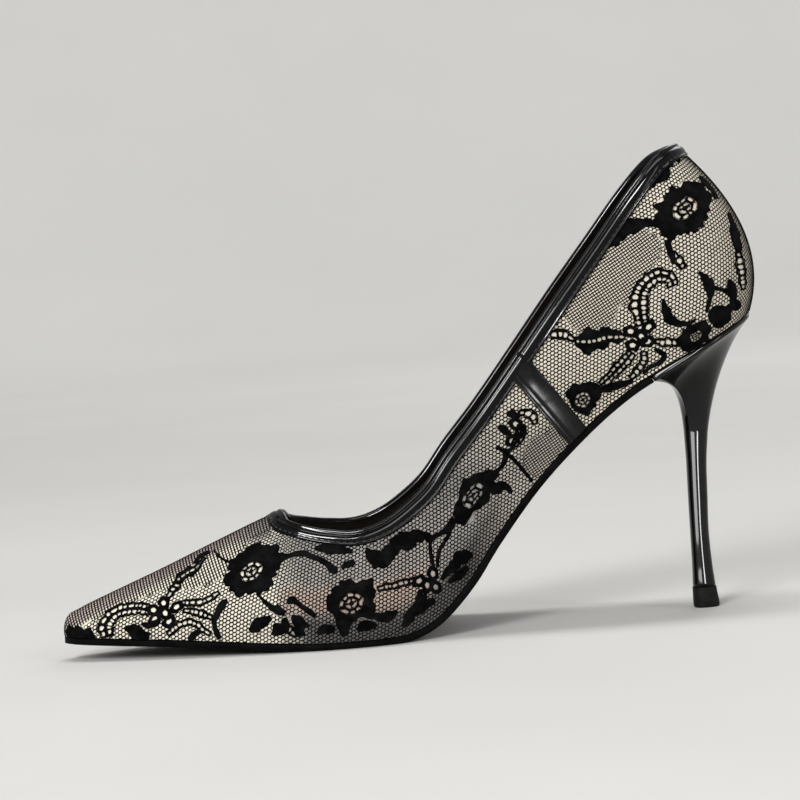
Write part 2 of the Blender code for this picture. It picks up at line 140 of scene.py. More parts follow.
# Seed of the random unevenness; each side adds its own number.
LACE_SEED = 7

# Flowers of the lace on each side: middle, radius of the ring of beads (0 where it has none), outline.
FLOWERS = {
    MEDIAL: (
        ((219.3, 136.4), 3.6, ((228.5, 137.5), (229.5, 140.0), (227.5, 141.5), (227.0, 144.5),
            (223.5, 144.2), (221.0, 145.5), (218.0, 143.8), (215.5, 143.6), (213.5, 141.0), (211.8, 139.2),
            (209.0, 138.0), (210.2, 135.6), (207.0, 132.8), (210.6, 130.2), (212.0, 127.2), (214.5, 126.6),
            (216.2, 128.0), (219.0, 127.8), (221.5, 128.4), (224.0, 129.0), (226.0, 131.5), (227.2, 134.4))),
        ((180.4, 75.6), 2.5, ((188.0, 79.8), (185.5, 81.6), (182.0, 81.4), (179.5, 80.6), (177.0, 81.2),
            (175.2, 78.4), (175.6, 75.6), (177.0, 73.0), (179.0, 71.0), (182.0, 70.4), (184.0, 72.0),
            (185.0, 74.4), (187.0, 76.6))),
        ((219.4, 93.8), 1.8, ((224.5, 93.5), (225.0, 96.5), (222.8, 98.8), (219.5, 98.6), (216.8, 97.4),
            (214.4, 95.0), (211.8, 92.6), (213.6, 90.2), (216.0, 88.6), (219.0, 89.6), (222.0, 90.8))),
        ((228.6, 99.4), 0.0, ((232.5, 100.5), (233.0, 103.0), (230.5, 103.0), (228.0, 103.4), (225.6, 102.4),
            (224.0, 100.0), (224.8, 97.4), (227.0, 95.6), (230.0, 96.4), (232.0, 98.0))),
        ((141.2, 47.0), 3.2, ((146.5, 47.0), (148.0, 49.6), (150.0, 53.0), (148.0, 55.0), (145.5, 54.6),
            (143.5, 54.0), (141.0, 53.2), (138.4, 52.6), (137.0, 49.8), (136.6, 46.6), (134.8, 43.6),
            (134.0, 41.0), (135.0, 38.4), (137.0, 37.6), (139.4, 38.6), (140.6, 41.0), (143.0, 41.6),
            (145.4, 43.4))),
        ((97.8, 15.2), 3.5, ((105.5, 15.5), (106.5, 18.5), (105.8, 22.6), (103.0, 22.4), (100.2, 21.6),
            (98.0, 22.8), (95.4, 22.0), (92.6, 21.0), (90.8, 18.6), (89.0, 16.4), (89.6, 13.6), (92.0, 12.2),
            (92.4, 9.6), (94.4, 7.4), (97.0, 8.6), (99.4, 10.4), (101.6, 10.2), (104.0, 9.4),
            (105.2, 11.6))),
        ((65.0, 27.2), 3.5, ((74.0, 27.4), (76.0, 30.2), (74.6, 34.6), (70.4, 35.6), (66.6, 35.4),
            (63.4, 33.8), (60.4, 32.0), (57.6, 30.6), (57.6, 27.6), (54.4, 24.6), (57.4, 22.0), (60.0, 19.6),
            (63.0, 20.6), (66.4, 20.0), (69.4, 20.8), (71.8, 22.8), (72.6, 25.2))),
    ),
    LATERAL: (
        ((192.5, 85.6), 3.4, ((203.5, 88.0), (202.0, 91.6), (198.4, 92.0), (195.0, 93.6), (191.4, 92.2),
            (187.6, 93.2), (184.4, 90.4), (181.0, 88.6), (182.4, 85.0), (180.6, 81.8), (184.4, 79.6),
            (188.0, 80.6), (191.4, 78.8), (195.0, 80.4), (198.4, 80.6), (200.6, 83.6), (203.8, 85.0))),
        ((233.4, 113.0), 3.0, ((241.0, 113.4), (240.4, 118.0), (237.0, 120.4), (233.4, 119.6),
            (229.8, 121.0), (227.2, 117.6), (225.4, 114.6), (226.6, 111.2), (227.0, 107.6), (230.6, 106.6),
            (234.0, 105.4), (237.8, 107.2), (240.6, 109.8))),
        ((216.4, 91.8), 1.8, ((225.4, 94.4), (223.0, 97.6), (219.4, 96.8), (215.6, 97.4), (212.0, 95.2),
            (208.4, 92.8), (205.8, 88.8), (208.6, 86.4), (212.8, 86.8), (217.0, 88.6), (221.4, 90.4),
            (225.0, 91.8))),
        ((152.0, 51.4), 3.3, ((161.6, 55.0), (160.4, 59.4), (156.6, 60.2), (153.0, 58.8), (149.4, 58.6),
            (146.2, 56.2), (143.0, 53.4), (142.0, 49.6), (144.2, 47.2), (143.8, 43.8), (147.6, 43.0),
            (151.0, 44.4), (154.4, 44.2), (157.0, 47.0), (160.0, 49.0), (160.4, 52.2))),
        ((134.0, 27.4), 3.3, ((143.0, 31.0), (142.0, 35.0), (138.4, 36.2), (134.8, 34.8), (131.0, 35.6),
            (128.2, 32.4), (125.4, 30.0), (125.8, 26.4), (124.2, 23.2), (127.6, 21.0), (131.2, 20.4),
            (134.6, 19.2), (138.2, 21.6), (140.8, 24.4), (143.2, 27.4))),
        ((88.0, 15.2), 3.5, ((98.4, 15.6), (97.6, 19.4), (94.4, 21.2), (91.6, 23.4), (87.8, 22.2),
            (84.4, 23.4), (81.6, 20.6), (78.4, 18.6), (78.6, 15.0), (77.0, 11.6), (80.8, 9.4), (84.2, 8.6),
            (87.6, 6.8), (91.2, 8.6), (94.8, 8.8), (97.0, 11.8))),
        ((61.0, 14.8), 3.2, ((70.6, 15.6), (69.6, 19.4), (66.0, 20.6), (63.2, 22.2), (59.6, 21.4),
            (56.0, 21.8), (53.4, 18.8), (51.2, 16.2), (52.4, 13.0), (51.6, 9.6), (55.6, 8.4), (59.4, 8.8),
            (62.8, 7.4), (66.4, 8.8), (69.4, 11.6))),
    ),
}

# Small rings that make a sprig's heart, on each side: the places in each sprig.
RINGS = {
    MEDIAL: (
        ((197.7, 97.3), (203.8, 98.3), (203.2, 93.4), (198.1, 92.6), (201.2, 95.3)),
        ((125.6, 22.2), (120.8, 20.4), (121.2, 15.2), (126.2, 17.6), (123.4, 18.6)),
        ((34.6, 18.6), (39.0, 17.2), (31.2, 13.6), (36.1, 12.7), (35.0, 15.4), (31.0, 16.5)),
        ((157.4, 69.4), (159.0, 67.0), (155.8, 64.0)),
    ),
    LATERAL: (
        ((208.3, 113.1), (213.0, 109.9), (208.7, 106.5), (205.1, 108.6), (209.2, 110.2)),
        ((110.2, 24.6), (116.0, 24.8), (110.2, 16.0), (115.4, 18.4), (112.6, 20.2)),
    ),
}
RING_OUT = 2.4
RING_IN = 0.9
# Points round a ring, lifts of its inner edge and top, two kinds of unevenness with their phases, and the
# share of its radius that hides net.
RING_STEPS = 20
RING_LIFTS = (0.1, 0.5)
RING_OVAL = 0.14
RING_UNEVEN = 0.08
RING_PHASES = (0.0, 6.0)
RING_COVER = 0.8

# Ribbons of the lace on each side: kind, and the places that the ribbon runs through, each with its half
# width there.
RIBBONS = {
    MEDIAL: (
        ("solid", ((208.0, 132.6, 1.2), (204.5, 132.4, 1.5), (201.0, 131.8, 2.1), (197.8, 130.6, 2.0),
            (195.0, 128.4, 1.8), (192.5, 126.6, 1.0))),
        ("solid", ((212.4, 126.6, 0.9), (212.8, 123.6, 1.0), (213.4, 120.8, 0.9), (213.4, 118.4, 0.5))),
        ("beads", ((213.6, 122.6, 0.7), (215.4, 119.4, 1.5), (217.0, 116.6, 1.2))),
        ("ladder", ((213.0, 111.0, 1.6), (212.0, 113.8, 2.0), (208.6, 115.0, 2.3), (204.6, 113.0, 2.6),
            (201.8, 109.0, 2.7), (201.2, 104.0, 2.7), (202.0, 99.0, 2.2))),
        ("solid", ((209.2, 107.0, 0.3), (209.6, 103.6, 1.2), (211.0, 100.6, 1.5), (214.0, 98.6, 0.9),
            (218.0, 98.6, 0.5), (219.6, 99.4, 0.3))),
        ("solid", ((221.8, 115.0, 0.4), (224.0, 112.6, 1.4), (225.4, 109.0, 1.6), (225.0, 105.4, 0.9),
            (223.6, 101.6, 0.5))),
        ("line", ((226.4, 109.4, 0.9), (229.0, 108.6, 0.5), (231.4, 107.6, 1.0))),
        ("solid", ((232.4, 111.6, 0.8), (232.8, 108.8, 1.8), (233.4, 105.6, 1.4), (232.8, 103.0, 0.9),
            (234.4, 102.4, 2.0), (236.0, 103.6, 0.8))),
        ("solid", ((235.0, 133.6, 0.8), (236.2, 128.0, 2.2), (236.8, 123.6, 2.5), (236.8, 120.0, 1.5))),
        ("beads", ((236.6, 120.4, 1.5), (237.0, 116.6, 2.5), (237.4, 112.4, 2.4), (237.4, 107.4, 1.4))),
        ("solid", ((226.0, 146.6, 0.9), (228.0, 144.2, 2.2), (229.8, 141.6, 1.5), (231.4, 138.4, 1.3))),
        ("solid", ((217.6, 154.6, 1.2), (215.0, 152.0, 2.4), (211.8, 149.2, 3.0), (208.4, 146.6, 2.2),
            (205.6, 143.8, 1.0))),
        ("beads", ((214.6, 155.2, 0.9), (217.4, 154.0, 1.4), (219.8, 152.0, 0.9))),
        ("leaf", ((196.0, 95.6, 0.9), (193.0, 95.8, 1.9), (190.0, 96.0, 2.9), (187.0, 95.4, 3.4),
            (184.0, 95.0, 3.9), (181.4, 95.2, 3.0), (179.0, 95.6, 1.0))),
        ("beads", ((179.0, 95.6, 0.7), (176.6, 97.6, 1.4), (173.8, 98.4, 1.7), (171.0, 97.8, 1.2))),
        ("beads", ((205.6, 93.4, 0.9), (208.6, 92.6, 1.5), (212.0, 92.4, 1.4), (214.6, 91.6, 1.0))),
        ("ladder", ((198.0, 90.4, 1.6), (195.4, 87.6, 1.9), (192.2, 84.6, 1.9), (189.0, 81.8, 1.6),
            (186.6, 80.0, 1.4))),
        ("beads", ((201.6, 90.4, 1.1), (201.4, 86.8, 1.4), (199.2, 83.6, 1.4), (196.6, 81.4, 1.0))),
        ("line", ((205.4, 91.0, 0.5), (208.2, 88.6, 0.9), (207.6, 86.4, 0.8), (203.6, 84.6, 0.6),
            (201.2, 82.6, 0.5))),
        ("solid", ((186.4, 77.8, 0.8), (190.0, 79.0, 1.2), (194.4, 79.8, 1.0), (197.6, 80.6, 0.5))),
        ("solid", ((154.6, 73.2, 0.6), (156.6, 72.6, 1.3), (158.8, 71.4, 1.0))),
        ("beads", ((158.4, 73.0, 0.8), (161.0, 73.0, 1.5), (163.4, 71.0, 1.5), (163.8, 68.6, 0.9))),
        ("solid", ((151.4, 69.4, 0.7), (152.8, 68.2, 1.2), (154.4, 66.8, 0.9), (155.8, 65.8, 0.4))),
        ("ladder", ((160.0, 69.0, 1.2), (158.8, 66.4, 1.7), (157.4, 63.8, 1.5), (155.8, 61.8, 0.8))),
        ("line", ((150.4, 62.4, 0.5), (153.2, 60.6, 0.7), (156.4, 61.6, 0.6))),
        ("line", ((153.6, 60.4, 0.9), (152.8, 57.6, 0.8), (151.4, 55.4, 0.6), (148.6, 53.6, 0.7))),
        ("line", ((153.8, 59.8, 0.6), (157.0, 56.0, 0.6), (159.6, 52.2, 0.5), (161.6, 49.4, 0.5))),
        ("solid", ((146.4, 49.4, 1.0), (149.2, 48.6, 2.0), (152.0, 48.8, 1.4), (154.6, 46.4, 0.6))),
        ("solid", ((134.6, 39.6, 1.2), (132.4, 37.2, 1.1), (129.4, 35.4, 0.9), (126.4, 34.0, 0.9),
            (124.0, 33.4, 0.6))),
        ("line", ((133.0, 37.0, 0.5), (131.6, 33.8, 0.6), (129.0, 30.6, 0.6), (127.6, 27.0, 0.6),
            (127.4, 24.0, 0.5))),
        ("line", ((125.6, 33.6, 0.5), (125.4, 29.8, 0.6), (125.8, 26.2, 0.6), (126.2, 23.6, 0.5))),
        ("solid", ((112.0, 34.0, 0.8), (115.2, 33.6, 2.2), (119.2, 34.6, 2.5), (122.8, 35.4, 1.6),
            (126.0, 35.0, 0.6))),
        ("solid", ((104.0, 32.0, 0.9), (106.8, 29.8, 2.8), (109.8, 29.2, 2.9), (113.0, 31.0, 1.8),
            (116.0, 32.6, 0.8))),
        ("beads", ((119.6, 21.0, 0.9), (116.0, 20.4, 1.2), (112.6, 19.8, 1.2), (109.4, 19.6, 1.2),
            (106.6, 19.0, 0.8))),
        ("solid", ((121.6, 16.0, 0.8), (119.4, 13.0, 1.0), (117.6, 10.2, 1.4), (116.0, 7.6, 1.9),
            (114.0, 5.6, 0.8))),
        ("solid", ((128.4, 19.6, 0.7), (131.0, 22.6, 1.7), (133.8, 25.0, 2.1), (136.6, 26.6, 1.9),
            (139.4, 27.0, 0.8))),
        ("solid", ((130.4, 18.6, 0.6), (134.0, 20.2, 1.3), (137.6, 22.6, 1.0))),
        ("solid", ((75.6, 31.6, 0.8), (79.0, 31.6, 0.9), (82.4, 32.2, 1.1), (86.0, 31.0, 0.9),
            (89.4, 29.2, 0.9), (92.2, 27.0, 1.4), (93.4, 25.0, 0.6))),
        ("solid", ((87.0, 33.6, 0.6), (90.0, 33.2, 1.6), (93.4, 32.6, 1.7), (96.8, 32.2, 1.1),
            (99.6, 31.6, 0.6))),
        ("solid", ((95.4, 26.6, 0.5), (97.6, 27.6, 1.2), (100.0, 28.6, 0.6))),
        ("solid", ((76.4, 16.6, 0.6), (78.0, 17.8, 1.1), (79.6, 18.2, 0.5))),
        ("line", ((66.4, 20.4, 0.5), (68.6, 18.0, 0.5), (70.6, 16.0, 0.9), (73.0, 14.6, 1.4),
            (75.6, 13.4, 0.8))),
        ("line", ((77.6, 18.2, 0.9), (79.8, 16.6, 0.8), (82.4, 14.4, 0.8), (85.6, 11.8, 0.8))),
        ("solid", ((63.0, 8.4, 0.6), (65.2, 9.6, 1.8), (68.0, 11.0, 1.6), (70.8, 12.4, 0.6))),
        ("solid", ((70.6, 6.6, 0.6), (72.6, 8.0, 1.7), (74.6, 9.8, 1.6), (75.6, 12.0, 0.6))),
        ("solid", ((77.6, 12.4, 0.6), (79.4, 10.8, 1.7), (81.4, 9.6, 1.2), (83.4, 8.8, 0.5))),
        ("solid", ((95.6, 11.0, 1.4), (94.6, 8.6, 2.0), (94.4, 6.4, 1.9), (94.8, 4.6, 1.1))),
        ("solid", ((104.8, 10.6, 0.8), (107.2, 9.8, 1.7), (110.0, 10.0, 1.6), (112.8, 11.2, 0.6))),
        ("solid", ((85.6, 6.0, 0.6), (88.6, 7.4, 1.6), (91.6, 6.8, 0.8))),
        ("solid", ((99.0, 6.0, 0.7), (102.0, 7.6, 1.7), (105.4, 7.0, 0.9))),
        ("solid", ((119.0, 9.4, 0.7), (122.0, 11.8, 1.7), (125.4, 13.4, 0.9))),
        ("beads", ((74.4, 10.2, 0.9), (76.6, 8.0, 1.3), (79.0, 5.8, 1.0))),
        ("solid", ((80.4, 11.6, 0.6), (80.2, 8.6, 1.3), (80.6, 5.6, 1.3))),
        ("ladder", ((14.6, 8.2, 2.5), (14.4, 12.6, 2.8), (18.0, 16.0, 2.5), (24.0, 17.2, 2.3),
            (30.0, 16.4, 1.8))),
        ("solid", ((26.6, 12.4, 0.4), (28.6, 11.8, 1.0), (31.4, 12.4, 0.9), (33.4, 13.6, 0.6))),
        ("solid", ((20.6, 11.0, 0.5), (23.2, 10.4, 1.6), (26.0, 8.8, 2.2), (28.6, 7.0, 1.5))),
        ("beads", ((35.8, 19.8, 0.9), (37.4, 21.8, 1.5), (39.0, 23.6, 1.8), (40.4, 25.2, 1.2))),
        ("leaf", ((38.8, 24.4, 1.0), (41.0, 26.2, 2.0), (43.6, 27.6, 2.3), (46.2, 28.8, 1.7),
            (48.0, 30.4, 1.1), (49.2, 31.8, 0.8))),
        ("solid", ((45.6, 30.0, 0.7), (47.4, 32.0, 0.9), (49.6, 33.0, 1.1), (51.4, 33.6, 0.7))),
        ("line", ((52.6, 34.0, 0.4), (54.6, 32.0, 0.4), (57.4, 30.4, 0.4))),
        ("beads", ((40.6, 18.4, 0.9), (44.0, 18.4, 1.3), (47.6, 18.4, 1.2), (51.0, 19.6, 1.2),
            (54.0, 21.4, 0.9))),
        ("beads", ((41.0, 16.0, 0.8), (45.0, 15.4, 1.2), (48.6, 14.2, 1.2), (51.0, 13.0, 0.9))),
        ("solid", ((56.6, 18.4, 0.6), (54.6, 17.4, 1.3), (52.8, 14.4, 1.0), (51.4, 11.0, 0.8),
            (52.0, 8.0, 0.9), (52.6, 6.0, 0.7))),
        ("beads", ((35.2, 8.2, 0.9), (38.0, 10.4, 1.2), (41.4, 12.0, 1.2), (45.0, 11.6, 1.2),
            (47.6, 9.4, 1.1), (50.0, 7.6, 0.9))),
        ("solid", ((42.6, 6.0, 0.8), (44.6, 8.2, 1.1), (46.6, 9.0, 0.5))),
        ("solid", ((0.4, 11.2, 1.3), (2.4, 9.8, 2.2), (5.0, 9.6, 2.4), (7.4, 8.8, 2.1), (10.4, 7.4, 1.1))),
        ("beads", ((1.6, 8.6, 0.9), (4.4, 8.0, 1.2), (8.0, 7.6, 0.9))),
    ),
    LATERAL: (
        ("ladder", ((188.6, 104.8, 1.6), (185.2, 107.4, 2.2), (187.6, 111.4, 2.5), (193.2, 113.8, 2.5),
            (199.8, 114.2, 2.3), (205.0, 111.8, 1.8))),
        ("solid", ((179.4, 98.4, 0.3), (180.8, 95.8, 1.4), (183.6, 93.8, 1.5), (189.4, 92.6, 0.6))),
        ("solid", ((196.0, 108.4, 0.4), (198.4, 105.0, 1.4), (198.0, 100.4, 1.6), (194.8, 95.8, 0.9),
            (190.6, 93.4, 0.5))),
        ("leaf", ((211.4, 114.8, 0.9), (213.6, 118.6, 2.2), (216.4, 122.6, 2.9), (218.6, 126.4, 2.2),
            (220.0, 129.6, 0.9))),
        ("beads", ((220.0, 129.4, 0.8), (221.8, 133.2, 1.5), (221.8, 138.0, 1.6), (218.6, 141.4, 1.0))),
        ("solid", ((217.6, 143.2, 0.8), (214.6, 146.6, 2.0), (211.0, 147.0, 2.2), (206.6, 143.8, 1.0))),
        ("beads", ((214.8, 109.6, 0.9), (218.4, 109.0, 1.4), (222.6, 109.2, 1.4), (226.4, 110.6, 0.9))),
        ("ladder", ((211.4, 105.6, 1.5), (215.0, 103.8, 1.9), (218.6, 101.0, 1.8), (220.0, 97.2, 1.4))),
        ("solid", ((181.4, 90.2, 0.9), (178.0, 88.6, 1.6), (173.8, 85.8, 2.2), (169.6, 83.8, 0.9))),
        ("beads", ((182.4, 83.6, 0.9), (178.4, 80.6, 1.5), (174.8, 76.8, 1.0))),
        ("solid", ((175.4, 72.4, 0.7), (172.0, 73.0, 1.6), (168.4, 71.8, 1.8), (166.0, 68.6, 1.0))),
        ("line", ((166.4, 69.0, 0.6), (164.8, 64.6, 0.7), (161.4, 58.8, 0.7))),
        ("leaf", ((162.6, 56.0, 0.8), (168.4, 58.6, 1.7), (172.8, 62.0, 2.2), (176.4, 67.6, 1.8),
            (181.0, 72.4, 0.8))),
        ("leaf", ((14.8, 9.0, 0.8), (18.6, 11.4, 1.8), (22.6, 12.8, 2.0), (27.4, 12.4, 0.8))),
        ("ladder", ((7.4, 9.8, 1.6), (9.8, 15.0, 2.1), (14.6, 18.6, 2.1), (21.0, 21.0, 1.6))),
        ("solid", ((28.4, 13.0, 0.7), (32.6, 12.6, 1.6), (36.6, 11.6, 1.5), (41.0, 10.6, 0.7))),
        ("beads", ((42.0, 12.6, 0.8), (45.8, 11.2, 1.4), (50.4, 10.2, 0.9))),
        ("solid", ((46.4, 22.6, 0.3), (47.4, 19.6, 1.4), (50.2, 17.4, 1.6), (54.4, 17.8, 0.6))),
        ("solid", ((65.4, 29.4, 0.3), (65.4, 25.6, 1.5), (63.4, 22.4, 1.5), (60.4, 20.6, 0.6))),
        ("ladder", ((49.0, 27.2, 1.6), (55.4, 28.6, 2.2), (60.8, 31.0, 2.2), (66.6, 32.8, 2.1),
            (74.6, 34.0, 1.6))),
        ("solid", ((97.0, 18.6, 0.8), (101.4, 20.6, 1.7), (105.8, 21.8, 1.6), (110.0, 22.0, 0.8))),
        ("beads", ((116.6, 19.4, 0.9), (120.4, 21.2, 1.4), (125.6, 23.6, 0.9))),
        ("leaf", ((119.0, 13.4, 0.7), (123.0, 12.6, 1.9), (127.4, 12.0, 1.9), (131.4, 13.6, 0.8))),
        ("leaf", ((122.6, 36.0, 0.8), (128.0, 37.8, 2.0), (133.6, 40.0, 2.3), (139.0, 42.4, 1.9),
            (144.0, 46.6, 0.8))),
        ("line", ((70.2, 18.6, 0.6), (74.0, 24.0, 0.8), (80.4, 29.0, 0.7), (88.4, 31.0, 0.7))),
        ("solid", ((88.0, 31.0, 0.7), (92.4, 30.2, 1.9), (97.6, 30.2, 2.1), (103.0, 31.6, 0.9))),
        ("beads", ((66.0, 6.6, 0.9), (72.0, 6.4, 1.3), (78.4, 7.6, 0.9))),
        ("beads", ((98.4, 8.2, 0.9), (106.0, 6.8, 1.4), (115.0, 8.4, 0.9))),
    ),
}
# Step along a ribbon, widths of the cords along its edges and down its middle, mean length of its beads in
# steps, share of a bead's cell that is open, and half width from which a ribbon has beads and hides net.
RIBBON_STEP = 0.36
EDGE_CORD = 0.72
MIDDLE_CORD = 0.66
BEAD_LENGTH = 4.8
BEAD_SIZE = 0.86
BEAD_HALF = 0.85
# Unevenness of the beads: in length, at their corners and in size; and how far their corners are drawn in.
BEAD_UNEVEN = (0.6, 1.4)
BEAD_CORNERS = (0.78, 1.1)
BEAD_SIZES = (0.8, 1.04)
BEAD_ROUNDING = 0.78
# Least half width of a ribbon, and the share of it that hides the net.
RIBBON_LEAST = 0.4
RIBBON_COVER = 0.8
# Rims and slots of a ribbon, the most of its half width that each may take, and the least that cords leave.
RIM_WIDTH = 0.3
RIM_SHARE = 0.4
SLOT_HALF = 0.75
SLOT_SHARE = 0.34
CORD_SHARE = 0.4
# Lifts of its lines above the wall.
EDGE_LIFT = 0.02
RIM_LIFT = 0.42
LADDER_LIFT = 0.46
PETAL_LIFT = 0.3
BEAD_LIFT = 0.2
# Smooth curves: points to each given place, and fewest steps.
SPLINE_FINENESS = 40
SPLINE_LEAST = 6
# Steps round a flower, and its rows of beads: line, and length of a bead in steps.
FLOWER_STEPS = 120
FLOWER_BEADS = {1: 26.0, 4: 14.0}
# Lines of a flower from its middle out: share of the ring of beads, share of the petals' edge, and lift.
FLOWER_HEART = ((0.01, 0.0, 0.35), (0.2, 0.0, 0.25), (0.5, 0.0, 0.25), (0.6, 0.0, 0.42), (0.68, 0.0, 0.25),
                (1.06, 0.0, 0.25), (1.2, 0.0, 0.45), (0.0, 0.68, 0.34))
FLOWER_PLAIN = ((0.0, 0.01, 0.3), (0.0, 0.4, 0.36), (0.0, 0.68, 0.32))
FLOWER_PETALS = ((0.0, 0.86, 0.3), (0.0, 0.94, 0.45), (0.0, 1.0, 0.02))
# Unevenness of a flower: periods of the fine one and of the lobes, and shares of them at its edge and heart.
FLOWER_PERIODS = (1.0, 3.4)
FLOWER_RAGGED = 0.1
FLOWER_LOBED = 0.06
HEART_LOBED = 0.1
# Circles that it covers, one in so many steps: place and radius in the petals, and radius in the middle.
COVER_EVERY = 6
FLOWER_COVER = (0.62, 0.3, 0.6)
# Unevenness of edges: fine, and as lobes; and how much bolder ribbons are than their drawn width.
RAGGED = 0.2
LOBED = 0.24
BOLD = 1.16
# Periods of both, and the fewest bumps along an edge.
RAGGED_PERIOD = 0.9
LOBE_PERIOD = 2.4
FEWEST_BUMPS = 3

# Areas of closer net between the vines, on each side: place, radius.
DENSE_AREAS = {
    MEDIAL: ((194.0, 117.5, 12.0), (185.0, 106.5, 9.0), (203.0, 124.0, 7.0), (166.5, 57.5, 8.0),
        (173.0, 64.0, 5.5)),
    LATERAL: ((188.5, 101.0, 6.5), (207.0, 128.0, 11.0), (198.0, 122.0, 8.0), (56.0, 22.5, 5.5)),
}
# Closer net along the ridge of the vamp: distance along the ridge from the toe, and how far down it goes.
RIDGE_REACH = ((0.0, 10.0), (15.0, 11.0), (32.0, 14.0), (42.0, 20.0), (53.0, 22.0), (59.0, 16.0),
               (67.0, 11.0))
# Seam of the two sides along the ridge: its half width, and what is left of the openings there.
RIDGE_SEAM = 1.2
RIDGE_SEAM_OPEN = 0.3

# Linings: nude in the toe and the quarter; between them the lace has fine tulle behind it.
# Each has its name, side, front and back at the sole and at the top, outer and inner face, and slot.
LININGS = (
    ("toe_lining_medial", MEDIAL, (0.0, 0.0), (6.4, 6.6), ("blush", "blush"), "lace_fabric"),
    ("toe_lining_lateral", LATERAL, (0.0, 0.0), (6.4, 6.6), ("blush", "blush"), "lace_fabric"),
    ("quarter_lining_medial", MEDIAL, (16.8, 16.8), (23.0, 23.0), ("nude", "tan"), "insole_tan"),
    ("quarter_lining_lateral", LATERAL, (16.8, 16.8), (23.0, 23.0), ("nude", "tan"), "insole_tan"),
)
SHEERS = (("sheer_tulle_medial", MEDIAL, (6.4, 6.6), (16.8, 16.8)),
          ("sheer_tulle_lateral", LATERAL, (6.4, 6.6), (16.8, 16.8)))
# Colour and cover of the tulle: in the open, in a warm band, darker and nearly opaque along the sole, and
# next to the linings.
SHEER_TONE = (0.40, 0.385, 0.365, 0.75)
BLUSH_TONE = (0.51, 0.39, 0.33, 0.85)
# Dark, nearly opaque tone low on the wall along the sole.
LOW_DARK_TONE = (0.11, 0.11, 0.112, 0.97)
HEM_TONE = (0.50, 0.455, 0.41, 1.0)
TOE_TONE = (0.87, 0.82, 0.69, 1.0)
LINING_TONE = (0.76, 0.70, 0.59, 1.0)
RIDGE_TONE = (0.50, 0.425, 0.39, 1.0)
THROAT_TONE = (0.30, 0.28, 0.265, 1.0)
# Heights above the sole, or depths below the ridge, over which they change.
LOW_DARK_RISE = (6.5, 12.0)
HEM_RISE = (9.0, 15.0)
BLUSH_RISE = (8.0, 12.0)
BLUSH_FALL = (17.0, 22.0)
RIDGE_FALL = (7.5, 11.5)
THROAT_FALL = (12.0, 19.0)
# Places from the toe point over which they change.
LOW_DARK_START = (77.0, 84.0)
HEM_START = (138.0, 158.0)
BLUSH_START = (71.0, 78.0)
BLUSH_END = (116.0, 132.0)
LINING_END = (60.0, 86.0)
THROAT_START = (58.0, 70.0)
# Distances from the quarter lining over which the tulle takes on its tone, above and all over.
QUARTER_FADE = 42.0
QUARTER_JOIN = 6.0
# Lifts of a lining's outer and inner face.
LINING_OUT = -0.12
LINING_IN = -1.3
# Points along and up a lining, and a sheet of tulle.
LINING_GRID = (61, 25)
SHEER_GRID = (121, 41)

# Trim along the collar: depth below the edge and offset out from the wall of each line of its profile.
TRIM_PROFILE = (
    (4.6, 0.0), (4.65, 0.45), (4.4, 0.72), (4.1, 0.72), (3.85, 0.5), (3.6, 0.5), (3.3, 0.82), (2.8, 1.08),
    (2.2, 1.18), (1.6, 1.1), (1.1, 0.84), (0.85, 0.56), (0.6, 0.56), (0.35, 0.8), (0.0, 0.9), (-0.4, 0.8),
    (-0.75, 0.35), (-0.88, -0.4), (-0.75, -1.2), (-0.4, -1.75), (0.0, -1.95), (0.8, -2.05), (3.0, -2.1),
    (5.4, -2.1), (5.9, -1.95), (6.0, -1.5),
)
# Stations along each side, evenly spaced by the distances of much finer ones.
TRIM_STATIONS = 260
COLLAR_FINENESS = 4000
# The trim is laid down the wall by steps of this length; its inner lines below a depth show the facing.
TRACK_STEP = 0.5
TRACK_STEPS = 28
FACING_DEPTH = 0.5
# Behind the band on the inner side the trim is folded double: its start, the run of that step, how much
# it stands out, and below which depth the fold also reaches further down, by what share.
TRIM_STEP_U = 16.98
TRIM_STEP_RUN = 0.02
TRIM_STEP_OUT = 0.38
TRIM_FOLD_DEPTH = 3.0
TRIM_FOLD_SHARE = 0.8
# At the throat the trim lies flatter, by this share, and evens out over so many rows.
THROAT_SLIM = 0.55
THROAT_SLIM_ROWS = 2.0
# Its inner leg reaches this much deeper along the outer side, and eases in and out of that.
INNER_DEEP = 2.2
DEEP_START = (7.0, 8.2)
DEEP_END = (19.0, 22.6)
# Stitches along the groove between these two lines of the profile: length, pitch and half thickness.
STITCH_LINES = (4, 5)
STITCH_LENGTH = 1.5
STITCH_PITCH = 2.3
STITCH_HALF = 0.24
STITCH_SIDES = 8
# Its shape: share of the length, share of the half thickness there.
STITCH_PROFILE = ((0.0, 0.3), (0.12, 0.8), (0.35, 1.0), (0.65, 1.0), (0.88, 0.8), (1.0, 0.3))

# Band on the inner side: its front and back, share across and lift of each line, and span up the wall.
BAND_FRONT_U = 16.69
BAND_BACK_U = 17.07
BAND_PROFILE = ((0.0, 0.0), (0.0, 0.5), (0.03, 0.85), (0.08, 0.95), (0.12, 0.75), (0.16, 0.72), (0.21, 0.95),
                (0.25, 0.85), (0.3, 0.72), (0.4, 0.8), (0.5, 0.86), (0.6, 0.9), (0.7, 0.9), (0.8, 0.86),
                (0.9, 0.8), (0.97, 0.7), (1.0, 0.5), (1.0, 0.0))
BAND_SPAN = (0.004, 0.93, 70)
# Its crease: height at the front, fall to the back, width and depth; its swell: height, width and lift.
BAND_CREASE = (0.5, 0.12, 0.05, 0.26)
BAND_SWELL = (0.72, 0.13, 0.28)

# Strip on the back seam: how far before the seam each line of one half lies, and its lift.
SEAM_PROFILE = ((0.11, 0.0), (0.09, 0.4), (0.03, 0.55))
SEAM_STEPS = 80

